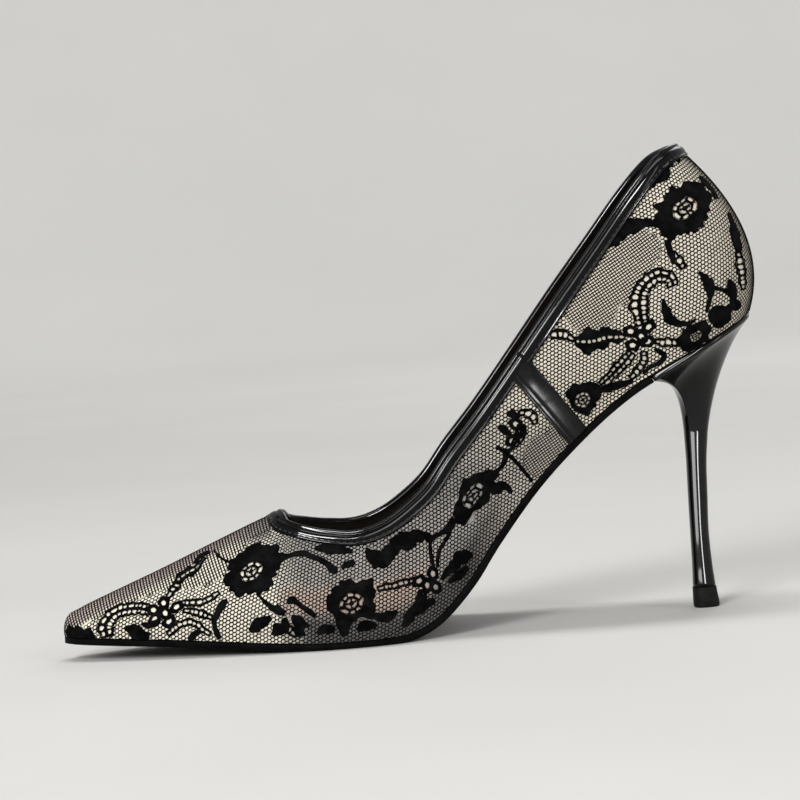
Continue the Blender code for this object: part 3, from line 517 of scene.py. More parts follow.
# Sole: front and back, sections along it, and thickness of its edge.
SOLE_FRONT_U = 0.06
SOLE_BACK_U = 18.62
SOLE_ROWS = 260
SOLE_EDGE = 2.4
# Corners of half a section: share down the edge's thickness, and inset, at most a share of the half width.
SOLE_PROFILE = ((0.0, 6.0), (0.0, 0.5), (0.06, 0.15), (0.2, 0.0), (0.6, 0.0), (0.82, 0.15), (0.94, 0.5),
                (1.0, 1.2), (1.0, 8.0))
SOLE_INSET_MOST = 0.6
# Gap between the feather edge and what lies below it.
GAP = 0.3
# Insole: front and back, and sections along it.
INSOLE_FRONT_U = 0.5
INSOLE_BACK_U = 22.7
INSOLE_ROWS = 240
# Corners across one half, then the middle: share of the half width, inset from the wall, and height.
INSOLE_PROFILE = ((1.0, 2.0, 0.0), (1.0, 1.9, 1.0), (1.0, 2.2, 1.7), (1.0, 2.9, 1.95), (0.7, 0.0, 2.05),
                  (0.35, 0.0, 1.9))
INSOLE_MIDDLE = (0.0, 0.0, 1.85)

# Heel: where its seat starts, points along and across the seat, and the cup's curve at the front and back.
HEEL_FRONT_U = 18.65
SEAT_ROWS = 200
SEAT_FRONT_STEPS = 60
CUP_COLUMNS = ("lip", "low_in", "high_in", "low_drop", "high_rise")
CUP_FRONT = (2.4, 0.75, 0.03, 0.0, 14.0)
CUP_BACK = (1.2, 0.38, 0.18, 7.0, 17.0)
CUP_STEPS = 40
# Heel shaft, then the tip: z, front x, back x, half width.
SHAFT_ROWS = ((60.0, 215.4, 223.6, 4.5), (50.0, 215.4, 222.4, 4.1), (38.0, 215.1, 221.8, 3.9),
              (26.0, 214.9, 221.3, 3.8), (15.0, 214.7, 221.6, 3.9), (7.3, 214.4, 222.2, 4.2))
TIP_ROWS = ((7.0, 214.4, 222.2, 4.2), (6.8, 214.25, 222.35, 4.35), (1.0, 214.15, 223.1, 4.6),
            (0.3, 214.3, 223.0, 4.5), (0.0, 214.6, 222.7, 4.2))
# Squareness of its rings, rings between two rows, and points round each.
SHAFT_SQUARENESS = 2.4
SHAFT_LEVELS = 8
HEEL_SIDES = 96

# Looks: name, values of the Principled shader, colour, roughness and relief.
# Colour: scale and detail of a noise, two tones and stops between them; or an attribute and two shares of it.
# Roughness: scale and detail of a noise, and its two limits. Relief, each with a height at the end: scale and
# detail of a noise, or period, direction and distortion of a wave.
WEAVE = ((0.00035, "X", 0.0, 0.00003), (0.00035, "Z", 0.0, 0.00003))
PATENT_COLOUR = (300.0, 3.0, (0.0015, 0.0015, 0.0015), (0.004, 0.004, 0.0045))
LOOKS = {
    "thread": ("lace_thread", {"Roughness": 0.8, "Specular_IOR_Level": 0.03},
               (900.0, 3.0, (0.005, 0.004, 0.003), (0.013, 0.0105, 0.0075)), (),
               ((5200.0, 2.0, 0.00006),)),
    "motif": ("lace_motif", {"Roughness": 0.8, "Specular_IOR_Level": 0.03},
              (240.0, 6.0, (0.0015, 0.0015, 0.0017), (0.008, 0.0077, 0.0077), (0.42, 0.75)), (),
              ((0.00042, "Z", 0.6, 0.00008), (4200.0, 2.0, 0.00005))),
    "nude": ("nude_lining", {"Roughness": 0.75, "Specular_IOR_Level": 0.3},
             (60.0, 4.0, (0.735, 0.67, 0.56), (0.785, 0.73, 0.62)), (), WEAVE),
    "blush": ("blush_lining", {"Roughness": 0.75, "Specular_IOR_Level": 0.3},
              (60.0, 4.0, "tone", 0.95, 1.05), (), WEAVE),
    "tan": ("tan_leather", {"Specular_IOR_Level": 0.4},
            (45.0, 5.0, (0.53, 0.37, 0.23), (0.60, 0.44, 0.285)), (110.0, 3.0, 0.42, 0.6),
            ((1500.0, 4.0, 0.00006),)),
    "sheer": ("sheer_tulle", {"Roughness": 0.8, "Specular_IOR_Level": 0.2},
              (70.0, 4.0, "tone", 0.8, 1.2), (), ((3000.0, 2.0, 0.00004),)),
    "patent": ("patent_black", {"Specular_IOR_Level": 0.02, "Coat_Weight": 0.24, "Coat_Roughness": 0.05},
               PATENT_COLOUR, (220.0, 3.0, 0.12, 0.24), ((160.0, 3.0, 0.00018), (900.0, 2.0, 0.00003))),
    "strap": ("strap_patent", {"Roughness": 0.3, "Specular_IOR_Level": 0.02, "Coat_Weight": 0.32,
                               "Coat_Roughness": 0.22},
              PATENT_COLOUR, (), ((220.0, 3.0, 0.0001),)),
    "facing": ("patent_facing", {"Roughness": 0.6, "Specular_IOR_Level": 0.08},
               (300.0, 3.0, (0.003, 0.003, 0.003), (0.007, 0.007, 0.007)), (), ((1500.0, 3.0, 0.00005),)),
    "stitch": ("stitch_thread", {"Roughness": 0.4, "Specular_IOR_Level": 0.5},
               (900.0, 3.0, (0.008, 0.008, 0.008), (0.03, 0.03, 0.03)), (),
               ((0.0003, "DIAGONAL", 0.0, 0.00004),)),
    "gloss": ("heel_gloss", {"Specular_IOR_Level": 0.02, "Coat_Weight": 0.5, "Coat_Roughness": 0.04},
              (120.0, 3.0, (0.002, 0.002, 0.002), (0.005, 0.005, 0.0055)), (140.0, 4.0, 0.10, 0.2),
              ((60.0, 2.0, 0.00006),)),
    "sole": ("sole_black", {"Specular_IOR_Level": 0.02},
             (140.0, 5.0, (0.002, 0.002, 0.002), (0.006, 0.006, 0.006)), (70.0, 4.0, 0.3, 0.55),
             ((1800.0, 4.0, 0.00003),)),
    "rubber": ("tip_rubber", {"Roughness": 0.6, "Specular_IOR_Level": 0.12},
               (500.0, 4.0, (0.004, 0.004, 0.004), (0.011, 0.011, 0.011)), (), ((2600.0, 3.0, 0.00006),)),
}
FLOOR_LOOK = ("pale_floor", {"Roughness": 0.7, "Specular_IOR_Level": 0.0},
              (6.0, 3.0, (0.55, 0.545, 0.53), (0.57, 0.565, 0.55)), (), ())
# Stops of a colour's noise where a look gives none, scale of a wave texture with a period of one, and the
# numbers of a Mix node's colours and of its result.
BLEND_STOPS = (0.3, 0.7)
WAVE_SCALE = 0.314
MIX_FIRST = 6
MIX_SECOND = 7
MIX_RESULT = 2


def unit(vectors):
    """Vectors scaled to a length of one."""
    return vectors / np.linalg.norm(vectors, axis=-1, keepdims=True)


def ease(value, low, high):
    """Smooth step from 0 at low to 1 at high."""
    share = np.clip((value - low) / (high - low), 0.0, 1.0)
    return share * share * (3.0 - 2.0 * share)


def run_along(points, axis=0):
    """Distances from the first point of each line of points; the lines run along an axis."""
    strides = np.linalg.norm(np.diff(points, axis=axis), axis=-1)
    start = np.zeros_like(np.take(strides, [0], axis=axis))
    return np.concatenate((start, np.cumsum(strides, axis=axis)), axis=axis)


def at_distances(points, reach, at):
    """Points at some distances along a line, whose own points lie at the distances in reach."""
    return np.stack([np.interp(at, reach, column) for column in points.T], -1)


def curve_through(values, u, odd=False):
    """Smooth curve through a column of the table, reflected past both ends."""
    values = np.asarray(values, float)
    if odd:
        ends = (2.0 * values[0] - values[1], 2.0 * values[-1] - values[-2])
    else:
        ends = (values[1], values[-2])
    padded = np.concatenate(([ends[0]], values, [ends[1]]))
    start = np.clip(np.floor(u).astype(int), 0, len(values) - 2)
    share = u - start
    before, here, there, after = (padded[start + step] for step in range(4))
    slope_here = (there - before) / 2.0
    slope_there = (after - here) / 2.0
    square = share * share
    cube = square * share
    return ((2.0 * cube - 3.0 * square + 1.0) * here + (cube - 2.0 * square + share) * slope_here
            + (3.0 * square - 2.0 * cube) * there + (cube - square) * slope_there)


def section(u):
    """All columns of the table at each u."""
    u = np.asarray(u, float)
    columns = np.array(SECTION_ROWS, float).T
    return {name: curve_through(column, u, name in ODD_COLUMNS)
            for name, column in zip(SECTION_COLUMNS, columns)}


def foot_half(cut, side):
    """Half width of the sole on one side."""
    return cut["medial"] if side == MEDIAL else cut["lateral"]


def bezier(handles, v):
    """Points of a curve with four control points."""
    v = np.asarray(v, float)[..., None]
    w = 1.0 - v
    foot, low, high, top = handles
    return foot * w ** 3 + low * (3.0 * w * w * v) + high * (3.0 * w * v * v) + top * v ** 3


def wall_handles(u, side):
    """Four control points of the wall's curve at each u."""
    cut = section(u)
    zero = np.zeros_like(cut["foot_x"])
    facing = np.radians(cut["facing"])
    out = np.stack((np.sin(facing), side * np.cos(facing), zero), -1)
    rise = np.stack((cut["top_x"] - cut["foot_x"], zero, cut["top_z"] - cut["foot_z"]), -1)
    foot = np.stack((cut["foot_x"], side * foot_half(cut, side), cut["foot_z"]), -1)
    top = np.stack((cut["top_x"], side * cut["top_half"], cut["top_z"]), -1)
    low = foot + rise * cut["low_share"][..., None] + out * cut["low_out"][..., None]
    high = top - rise * cut["top_share"][..., None] + out * cut["top_out"][..., None]
    return foot, low, high, top


def wall_point(u, side, v):
    return bezier(wall_handles(u, side), v)


def wall_strides(u, side, v):
    """How far the wall's point moves over two small steps along it and up it."""
    along = wall_point(u + WALL_STEP, side, v) - wall_point(u - WALL_STEP, side, v)
    up = wall_point(u, side, v + WALL_STEP) - wall_point(u, side, v - WALL_STEP)
    return along, up


def wall_normal(u, side, v):
    return unit(np.cross(*wall_strides(u, side, v)) * -side)


def wall(u, side, v, lift):
    """Points at a lift above the outside of the upper."""
    return wall_point(u, side, v) + wall_normal(u, side, v) * np.asarray(lift, float)[..., None]


def collar_share(u, side):
    """Share of the wall's curve that lies below the collar, found by halving."""
    u = np.asarray(u, float)
    edge_z = curve_through(COLLAR_Z, np.maximum(u - THROAT_ROW, 0.0), odd=True)
    handles = wall_handles(u, side)
    low = np.full(u.shape, COLLAR_LEAST)
    high = np.ones(u.shape)
    for _ in range(COLLAR_HALVINGS):
        middle = (low + high) / 2.0
        below = bezier(handles, middle)[..., 2] < edge_z
        low = np.where(below, middle, low)
        high = np.where(below, high, middle)
    return np.where(u <= THROAT_ROW, 1.0, high)


def sole_line(u):
    """Sections along the feather edge, points on its middle line, and unit normals pointing up."""
    cut = section(u)
    ahead = section(np.asarray(u) + SOLE_STEP)
    behind = section(np.asarray(u) - SOLE_STEP)
    run = ahead["foot_x"] - behind["foot_x"]
    climb = ahead["foot_z"] - behind["foot_z"]
    length = np.hypot(run, climb)
    zero = np.zeros_like(run)
    middle = np.stack((cut["foot_x"], zero, cut["foot_z"]), -1)
    return cut, middle, np.stack((-climb / length, zero, run / length), -1)


class Chart:
    """One side of the upper laid out flat, so that lace can be drawn on it in millimetres."""

    def __init__(self, side):
        self.side = side
        behind_throat = np.linspace(0.0, 1.0, THROAT_ROWS + 1)[:-1] ** THROAT_CROWDING
        u = np.concatenate((np.arange(0.0, THROAT_ROW, CHART_STEP), THROAT_ROW + behind_throat,
                            np.arange(THROAT_ROW + 1.0, LAST_ROW + CHART_STEP / 2.0, CHART_STEP)))
        u, t = np.meshgrid(u, np.linspace(0.0, 1.0, CHART_COLUMNS), indexing="ij")
        grid = wall_point(u, side, t * collar_share(u, side))
        self.flat = self.lay_flat(grid, np.flatnonzero(u[:, -1] <= THROAT_ROW))
        self.place = np.stack((u.ravel(), t.ravel()), 1)
        self.view = grid.reshape(-1, 3)[:, (0, 2)]
        number = np.arange(u.size).reshape(u.shape)
        corners = (number[:-1, :-1], number[1:, :-1], number[1:, 1:], number[:-1, 1:])
        a, b, c, d = (corner.ravel() for corner in corners)
        self.triangles = np.concatenate((np.stack((a, b, c), 1), np.stack((a, c, d), 1)))
        self.flat_tree = self.tree_of(self.flat)
        self.view_tree = self.tree_of(self.view)

    def tree_of(self, layout):
        points = [(x, y, 0.0) for x, y in layout.tolist()]
        return BVHTree.FromPolygons(points, self.triangles.tolist())

    @staticmethod
    def start_layout(grid, ridge, held):
        """First guess: rows hung on the middle line of the side view, and at the toe on the held ridge."""
        middle = grid.shape[1] // 2
        strides = np.diff(grid[:, middle], axis=0)
        seen = strides[:, (0, 2)]
        seen = seen * (np.linalg.norm(strides, axis=1) / np.linalg.norm(seen, axis=1))[:, None]
        line = np.concatenate((np.zeros((1, 2)), np.cumsum(seen, axis=0)))
        rise = unit((grid[:, -1] - grid[:, 0])[:, (0, 2)])
        heights = run_along(grid, axis=1)
        heights = heights - heights[:, middle][:, None]
        flat = line[:, None, :] + rise[:, None, :] * heights[:, :, None]
        along = unit(flat[ridge[-1], -1] - flat[ridge[0], -1])
        turn = np.array(((along[0], -along[1]), (along[1], along[0])))
        flat = (flat - flat[0, -1]) @ turn
        drops = heights[ridge] - heights[ridge, -1:]
        below = held[:, None] + drops[:, :, None] * np.array(TOE_HANG)
        share = np.clip(np.linspace(*TOE_HANG_FADE, len(ridge)), 0.0, 1.0)[:, None, None]
        flat[ridge] = below + (flat[ridge] - below) * share
        return flat

    @staticmethod
    def lay_flat(grid, ridge):
        """Flat layout that keeps the lengths of the grid's edges, with the ridge held on its first axis."""
        number = np.arange(grid.shape[0] * grid.shape[1]).reshape(grid.shape[:2])
        ties = ((number[:-1], number[1:]), (number[:, :-1], number[:, 1:]),
                (number[:-1, :-1], number[1:, 1:]), (number[:-1, 1:], number[1:, :-1]))
        first, second = (np.concatenate([tie[end].ravel() for tie in ties]) for end in range(2))
        points = grid.reshape(-1, 3)
        rest = np.linalg.norm(points[first] - points[second], axis=1)
        fixed = number[ridge, -1]
        held = np.stack((run_along(grid[ridge, -1]), np.zeros(len(ridge))), 1)
        flat = Chart.start_layout(grid, ridge, held).reshape(-1, 2)
        size = len(points)
        valence = np.bincount(first, minlength=size) + np.bincount(second, minlength=size)
        for _ in range(RELAX_ROUNDS):
            flat[fixed] = held
            gap = flat[second] - flat[first]
            length = np.linalg.norm(gap, axis=1)
            pull = gap * (RELAX_PULL * (length - rest) / length)[:, None]
            for axis in range(2):
                moved = np.bincount(first, pull[:, axis], size) - np.bincount(second, pull[:, axis], size)
                flat[:, axis] += moved / valence
        flat[fixed] = held
        return flat

    @staticmethod
    def nearest(tree, points):
        return [tree.find_nearest((x, y, 0.0)) for x, y in np.asarray(points).tolist()]

    def carry(self, tree, source, target, points):
        """Values of the target layout at points of the source layout."""
        hits = self.nearest(tree, points)
        corners = self.triangles[[hit[2] for hit in hits]]
        spots = np.array([hit[0][:2] for hit in hits])
        a, b, c = (source[corners[:, k]] for k in range(3))
        one = b - a
        two = c - a
        way = spots - a
        area = one[:, 0] * two[:, 1] - one[:, 1] * two[:, 0]
        share_b = (way[:, 0] * two[:, 1] - way[:, 1] * two[:, 0]) / area
        share_c = (one[:, 0] * way[:, 1] - one[:, 1] * way[:, 0]) / area
        shares = np.stack((1.0 - share_b - share_c, share_b, share_c), 1)
        return np.einsum("nk,nkd->nd", shares, target[corners])

    def from_view(self, places):
        """Flat places of points given in the side view."""
        return self.carry(self.view_tree, self.view, self.flat, places)

    def drape(self, points, lift):
        """Flat points laid on the shoe at a lift above its wall."""
        u, t = self.carry(self.flat_tree, self.flat, self.place, points).T
        return wall(u, self.side, t * collar_share(u, self.side), lift)

    def outside(self, points):
        """Distance of each flat point from the chart."""
        return np.array([hit[3] for hit in self.nearest(self.flat_tree, points)])


class Cloth:
    """Gathers flat shapes, with lifts and faces, before they are laid on the shoe."""

    def __init__(self):
        self.points = []
        self.lifts = []
        self.faces = []
        self.count = 0

    def add(self, points, lifts, faces):
        self.points.append(np.asarray(points, float))
        self.lifts.append(np.asarray(lifts, float))
        self.faces.append(np.asarray(faces, int) + self.count)
        self.count += len(points)

    def joined(self):
        return np.concatenate(self.points), np.concatenate(self.lifts), np.concatenate(self.faces)


def bumps(count, step, period, rng):
    """Smooth random values between -1 and 1 along a row of evenly spaced points."""
    knots = max(int(count * step / period), FEWEST_BUMPS)
    return np.interp(np.linspace(0.0, knots, count), np.arange(knots + 1), rng.uniform(-1.0, 1.0, knots + 1))


def spline(points, step):
    """Evenly spaced points on a smooth curve through a few given ones; further columns ride along."""
    points = np.asarray(points, float)
    u = np.linspace(0.0, len(points) - 1.0, SPLINE_FINENESS * len(points))
    fine = np.stack([curve_through(column, u, odd=True) for column in points.T], 1)
    reach = run_along(fine[:, :2])
    steps = max(int(reach[-1] / step), SPLINE_LEAST)
    return at_distances(fine, reach, np.linspace(0.0, reach[-1], steps + 1))


def ring_faces(corners, starts, inward):
    """Faces between rings of corners, which start at some numbers, and rings a number further inward."""
    k = np.arange(corners)
    nxt = (k + 1) % corners
    ring = np.stack((k, nxt, nxt + inward, k + inward), 1)
    return (np.asarray(starts)[:, None, None] + ring).reshape(-1, 4)


def ribbon_lines(kind, left, right):
    """Offsets and lifts of the lines along a ribbon, from its right edge to its left, and its open strips."""
    least = np.minimum(left, right)
    rim = np.minimum(RIM_WIDTH, RIM_SHARE * least)
    zero = np.zeros_like(left)
    if kind == "line":
        return (-right, zero, left), (EDGE_LIFT, RIM_LIFT, EDGE_LIFT), ()
    edges = ((-right, rim - right), (left - rim, left))
    if kind == "solid":
        inner, lifts, rims, open_strips = (zero,), (PETAL_LIFT,), RIM_LIFT, ()
    elif kind == "leaf":
        slot = np.minimum(SLOT_HALF, SLOT_SHARE * least)
        inner, lifts, rims, open_strips = (-slot, slot), (PETAL_LIFT,) * 2, RIM_LIFT, (2,)
    else:
        cord_right = np.maximum(right - EDGE_CORD, CORD_SHARE * right)
        cord_left = np.maximum(left - EDGE_CORD, CORD_SHARE * left)
        inner, lifts, rims, open_strips = (-cord_right, cord_left), (BEAD_LIFT,) * 2, RIM_LIFT, (2,)
    if kind == "ladder":
        middle = np.full_like(left, MIDDLE_CORD / 2.0)
        inner = (-cord_right, -middle, zero, middle, cord_left)
        lifts = (BEAD_LIFT, BEAD_LIFT, RIM_LIFT, BEAD_LIFT, BEAD_LIFT)
        rims, open_strips = LADDER_LIFT, (2, 5)
    return (*edges[0], *inner, *edges[1]), (EDGE_LIFT, rims, *lifts, rims, EDGE_LIFT), open_strips


def add_strip(cloth, low, high, lift_low, lift_high, start, stop):
    """Plain faces between two lines of points."""
    if stop > start:
        count = stop - start + 1
        points = np.concatenate((low[start:stop + 1], high[start:stop + 1]))
        lifts = np.repeat((lift_low, lift_high), count)
        i = np.arange(count - 1)
        cloth.add(points, lifts, np.stack((i, i + 1, i + 1 + count, i + count), 1))


def add_beads(cloth, low, high, lift, start, stop, length, rng):
    """Row of rounded openings between two lines: each is a ring of cloth, and what is left over is plain."""
    blocks = int((stop - start) / length)
    if blocks < 1:
        add_strip(cloth, low, high, lift, lift, 0, len(low) - 1)
        return
    add_strip(cloth, low, high, lift, lift, 0, start)
    add_strip(cloth, low, high, lift, lift, stop, len(low) - 1)
    ends = np.concatenate(([0.0], np.cumsum(rng.uniform(*BEAD_UNEVEN, blocks))))
    ends = start + ends / ends[-1] * (stop - start)
    square = np.array(((-1, -1), (0, -1), (1, -1), (1, 0), (1, 1), (0, 1), (-1, 1), (-1, 0)), float)
    corners = len(square)
    rounded = np.where(np.abs(square).sum(axis=1, keepdims=True) > 1.0, BEAD_ROUNDING, 1.0)
    size = BEAD_SIZE * rng.uniform(*BEAD_CORNERS, (blocks, corners, 2))
    size = size * rng.uniform(*BEAD_SIZES, (blocks, 1, 1))
    cells = np.concatenate((np.repeat(square[None], blocks, axis=0), square * rounded * size), axis=1)
    at = (ends[1:] + ends[:-1])[:, None] / 2.0 + np.diff(ends)[:, None] / 2.0 * cells[..., 0]
    share = (cells[..., 1:] + 1.0) / 2.0
    index = np.arange(len(low))
    points = at_distances(low, index, at) * (1.0 - share) + at_distances(high, index, at) * share
    faces = ring_faces(corners, 2 * corners * np.arange(blocks), corners)
    cloth.add(points.reshape(-1, 2), np.full(2 * corners * blocks, lift), faces)


def add_ribbon(cloth, kind, points, rng):
    """A strip of lace along a curve, with rows of beads left open where its kind has them."""
    run = spline(points, RIBBON_STEP)
    spine = run[:, :2]
    half = np.maximum(run[:, 2] * BOLD, RIBBON_LEAST)
    count = len(spine)
    lobed = LOBED if kind in ("solid", "leaf") else 0.0
    left, right = (half * (1.0 + RAGGED * bumps(count, RIBBON_STEP, RAGGED_PERIOD, rng)
                           + lobed * bumps(count, RIBBON_STEP, LOBE_PERIOD, rng)) for _ in SIDES)
    along = unit(np.gradient(spine, axis=0))
    across = np.stack((-along[:, 1], along[:, 0]), 1)
    offsets, lifts, open_strips = ribbon_lines(kind, left, right)
    lines = [spine + across * offset[:, None] for offset in offsets]
    wide = np.flatnonzero(half > BEAD_HALF)
    for strip in range(len(lines) - 1):
        if strip in open_strips and len(wide):
            add_beads(cloth, lines[strip], lines[strip + 1], lifts[strip], max(wide[0], 1),
                      min(wide[-1], count - 2), BEAD_LENGTH, rng)
        else:
            add_strip(cloth, lines[strip], lines[strip + 1], lifts[strip], lifts[strip + 1], 0, count - 1)
    to_end = RIBBON_STEP * np.minimum(np.arange(count), np.arange(count)[::-1])
    hidden = np.minimum(half * RIBBON_COVER, to_end)
    return np.concatenate((spine, hidden[:, None]), axis=1)[half > BEAD_HALF]


def add_flower(cloth, centre, ring, outline, rng):
    """A flower with ragged petals round a ring of beads."""
    steps = FLOWER_STEPS
    angle = np.linspace(0.0, 2.0 * np.pi, steps + 1)
    way = outline - centre
    turn = np.arctan2(way[:, 1], way[:, 0])
    edge = np.interp(angle, turn % (2.0 * np.pi), np.linalg.norm(way, axis=1), period=2.0 * np.pi)
    edge[1:-1] = (edge[:-2] + 2.0 * edge[1:-1] + edge[2:]) / 4.0
    mean = edge.mean()
    waves = (np.cos(2.0 * angle), np.sin(2.0 * angle))
    oval = 1.0 + sum((edge * wave).mean() * 2.0 * wave for wave in waves) / mean
    stride = 2.0 * np.pi * mean / steps
    fine, lobes = (bumps(steps + 1, stride, period, rng) for period in FLOWER_PERIODS)
    for uneven in (fine, lobes):
        uneven[-1] = uneven[0]
    edge = edge * (1.0 + FLOWER_RAGGED * fine + FLOWER_LOBED * lobes)
    oval = oval * (1.0 + HEART_LOBED * lobes)
    lines = (FLOWER_HEART if ring > 0.0 else FLOWER_PLAIN) + FLOWER_PETALS
    spokes = np.stack((np.cos(angle), np.sin(angle)), 1)
    rows = [centre + spokes * (ring * at_ring * oval + edge * at_edge)[:, None]
            for at_ring, at_edge, _ in lines]
    for line in range(len(lines) - 1):
        if ring > 0.0 and line in FLOWER_BEADS:
            add_beads(cloth, rows[line], rows[line + 1], lines[line][2], 0, steps, FLOWER_BEADS[line], rng)
        else:
            add_strip(cloth, rows[line], rows[line + 1], lines[line][2], lines[line + 1][2], 0, steps)
    reach = edge[::COVER_EVERY, None]
    petal_place, petal_radius, middle_radius = FLOWER_COVER
    places = centre + spokes[::COVER_EVERY] * (petal_place * reach)
    covers = np.concatenate((places, petal_radius * reach), axis=1)
    return np.concatenate((covers, [(*centre, middle_radius * edge.min())]))


def add_ring(cloth, centre, phase):
    """A small raised ring, a little uneven."""
    angle = np.linspace(0.0, 2.0 * np.pi, RING_STEPS, endpoint=False)
    spokes = np.stack((np.cos(angle), np.sin(angle)), 1)
    uneven = 1.0 + RING_OVAL * np.sin(2.0 * angle + phase) + RING_UNEVEN * np.sin(5.0 * angle - phase)
    reaches = (RING_IN, (RING_IN + RING_OUT) / 2.0, RING_OUT)
    points = np.concatenate([centre + spokes * (reach * uneven)[:, None] for reach in reaches])
    lifts = np.repeat((*RING_LIFTS, EDGE_LIFT), RING_STEPS)
    cloth.add(points, lifts, ring_faces(RING_STEPS, (0, RING_STEPS), RING_STEPS))


def motifs(chart, rng):
    """Flowers, sprigs and vines of one side, and the circles that they cover."""
    cloth = Cloth()
    covers = []
    for middle, ring, outline in FLOWERS[chart.side]:
        flat = chart.from_view((middle, *outline))
        covers.append(add_flower(cloth, flat[0], ring, flat[1:], rng))
    for places in RINGS[chart.side]:
        for centre in chart.from_view(places):
            add_ring(cloth, centre, rng.uniform(*RING_PHASES))
            covers.append(np.array([(*centre, RING_OUT * RING_COVER)]))
    for kind, places in RIBBONS[chart.side]:
        places = np.array(places)
        flat = np.concatenate((chart.from_view(places[:, :2]), places[:, 2:]), axis=1)
        covers.append(add_ribbon(cloth, kind, flat, rng))
    return cloth, np.concatenate(covers)


def ground_at(chart, places):
    """Which of the grounds lies at each place of the flat chart."""
    kind = np.zeros(len(places), int)
    for x, z, radius in DENSE_AREAS[chart.side]:
        spot = chart.from_view([(x, z)])[0]
        kind[np.linalg.norm(places - spot, axis=1) < radius] = CLOSE_GROUND
    ridge_end = chart.flat[chart.place[:, 0] <= THROAT_ROW, 0].max()
    reach = np.interp(places[:, 0], *np.transpose(RIDGE_REACH))
    kind[(places[:, 1] > -reach) & (places[:, 0] < ridge_end)] = RIDGE_GROUND
    return kind


def net(chart, covers, rng):
    """Net of one side: a ring of thread for each cell, left out where a motif lies."""
    cloth = Cloth()
    low = chart.flat.min(axis=0)
    high = chart.flat.max(axis=0)
    for kind, (pitch, row, shift, opening, shoulder) in enumerate(GROUNDS):
        i = np.arange(math.floor(low[0] / pitch) - 1, math.ceil(high[0] / pitch) + 1)
        j = np.arange(math.floor(low[1] / row), math.ceil(high[1] / row) + 1)
        i, j = (index.ravel() for index in np.meshgrid(i, j))
        centres = np.stack(((i + shift * (j % 2)) * pitch, j * row), 1)
        centres = centres[ground_at(chart, centres) == kind]
        centres = centres[chart.outside(centres) < NET_OVERHANG * row]
        gap = np.linalg.norm(centres[:, None, :] - covers[None, :, :2], axis=2) - covers[None, :, 2]
        centres = centres[gap.min(axis=1) > 0.0]
        peak = 1.0 - shoulder
        corners = np.array(((0.5, shoulder), (0.0, peak), (-0.5, shoulder),
                            (-0.5, -shoulder), (0.0, -peak), (0.5, -shoulder))) * (pitch, row)
        count = len(centres)
        size = len(corners) * count
        uneven = np.array(opening) * rng.uniform(*NET_UNEVEN, (count, 1, 2))
        # Next to the ridge the two sides are joined, so that the net closes up there.
        if kind == RIDGE_GROUND:
            uneven[centres[:, 1] > -RIDGE_SEAM] *= RIDGE_SEAM_OPEN
        rings = [centres[:, None, :] + corners, centres[:, None, :] + corners * uneven]
        points = np.concatenate([ring.reshape(-1, 2) for ring in rings])
        lifts = np.repeat((NET_THREAD_LIFT, NET_EDGE_LIFT), size)
        cloth.add(points, lifts, ring_faces(len(corners), len(corners) * np.arange(count), size))
    return cloth.joined()


def mesh_object(name, points, faces, smooth=True):
    """New object from points in the table's millimetres and faces of three or more corners."""
    mesh = bpy.data.meshes.new(name)
    mesh.from_pydata(((np.asarray(points) - CENTRE) * MM).tolist(), [], [list(face) for face in faces])
    mesh.update()
    mesh.polygons.foreach_set("use_smooth", np.full(len(mesh.polygons), smooth))
    thing = bpy.data.objects.new(name, mesh)
    bpy.context.scene.collection.objects.link(thing)
    return thing


def grid_faces(rows, columns, start=0, around=False, closed=False, flip=False):
    """Faces of a grid of points; around joins the last column to the first, and closed the last row."""
    faces = []
    for i in range(rows if closed else rows - 1):
        here = start + i * columns
        there = start + (i + 1) % rows * columns
        for j in range(columns if around else columns - 1):
            nxt = (j + 1) % columns
            face = (here + j, there + j, there + nxt, here + nxt)
            faces.append(face[::-1] if flip else face)
    return faces


def tube(name, rings, flip=False):
    """Closed solid through rings of points, with a flat face at both ends."""
    rings = np.asarray(rings)
    count, columns, _ = rings.shape
    faces = grid_faces(count, columns, around=True, flip=flip)
    for end in (range(columns), range((count - 1) * columns, count * columns)[::-1]):
        faces.append(tuple(end)[::-1] if flip else tuple(end))
    return mesh_object(name, rings.reshape(-1, 3), faces)


def both_sides(half):
    """Corners round a section: one half on the medial side, then the other way on the lateral side."""
    return [(MEDIAL, *corner) for corner in half] + [(LATERAL, *corner) for corner in half[::-1]]


def finish_piece(thing, materials, slot, *replaced):
    """Gives a piece its materials and its body, and the nodes that it replaces; the slot is not used."""
    for material in materials:
        thing.data.materials.append(material)
    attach(thing, "root")
    if replaced:
        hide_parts(*replaced)


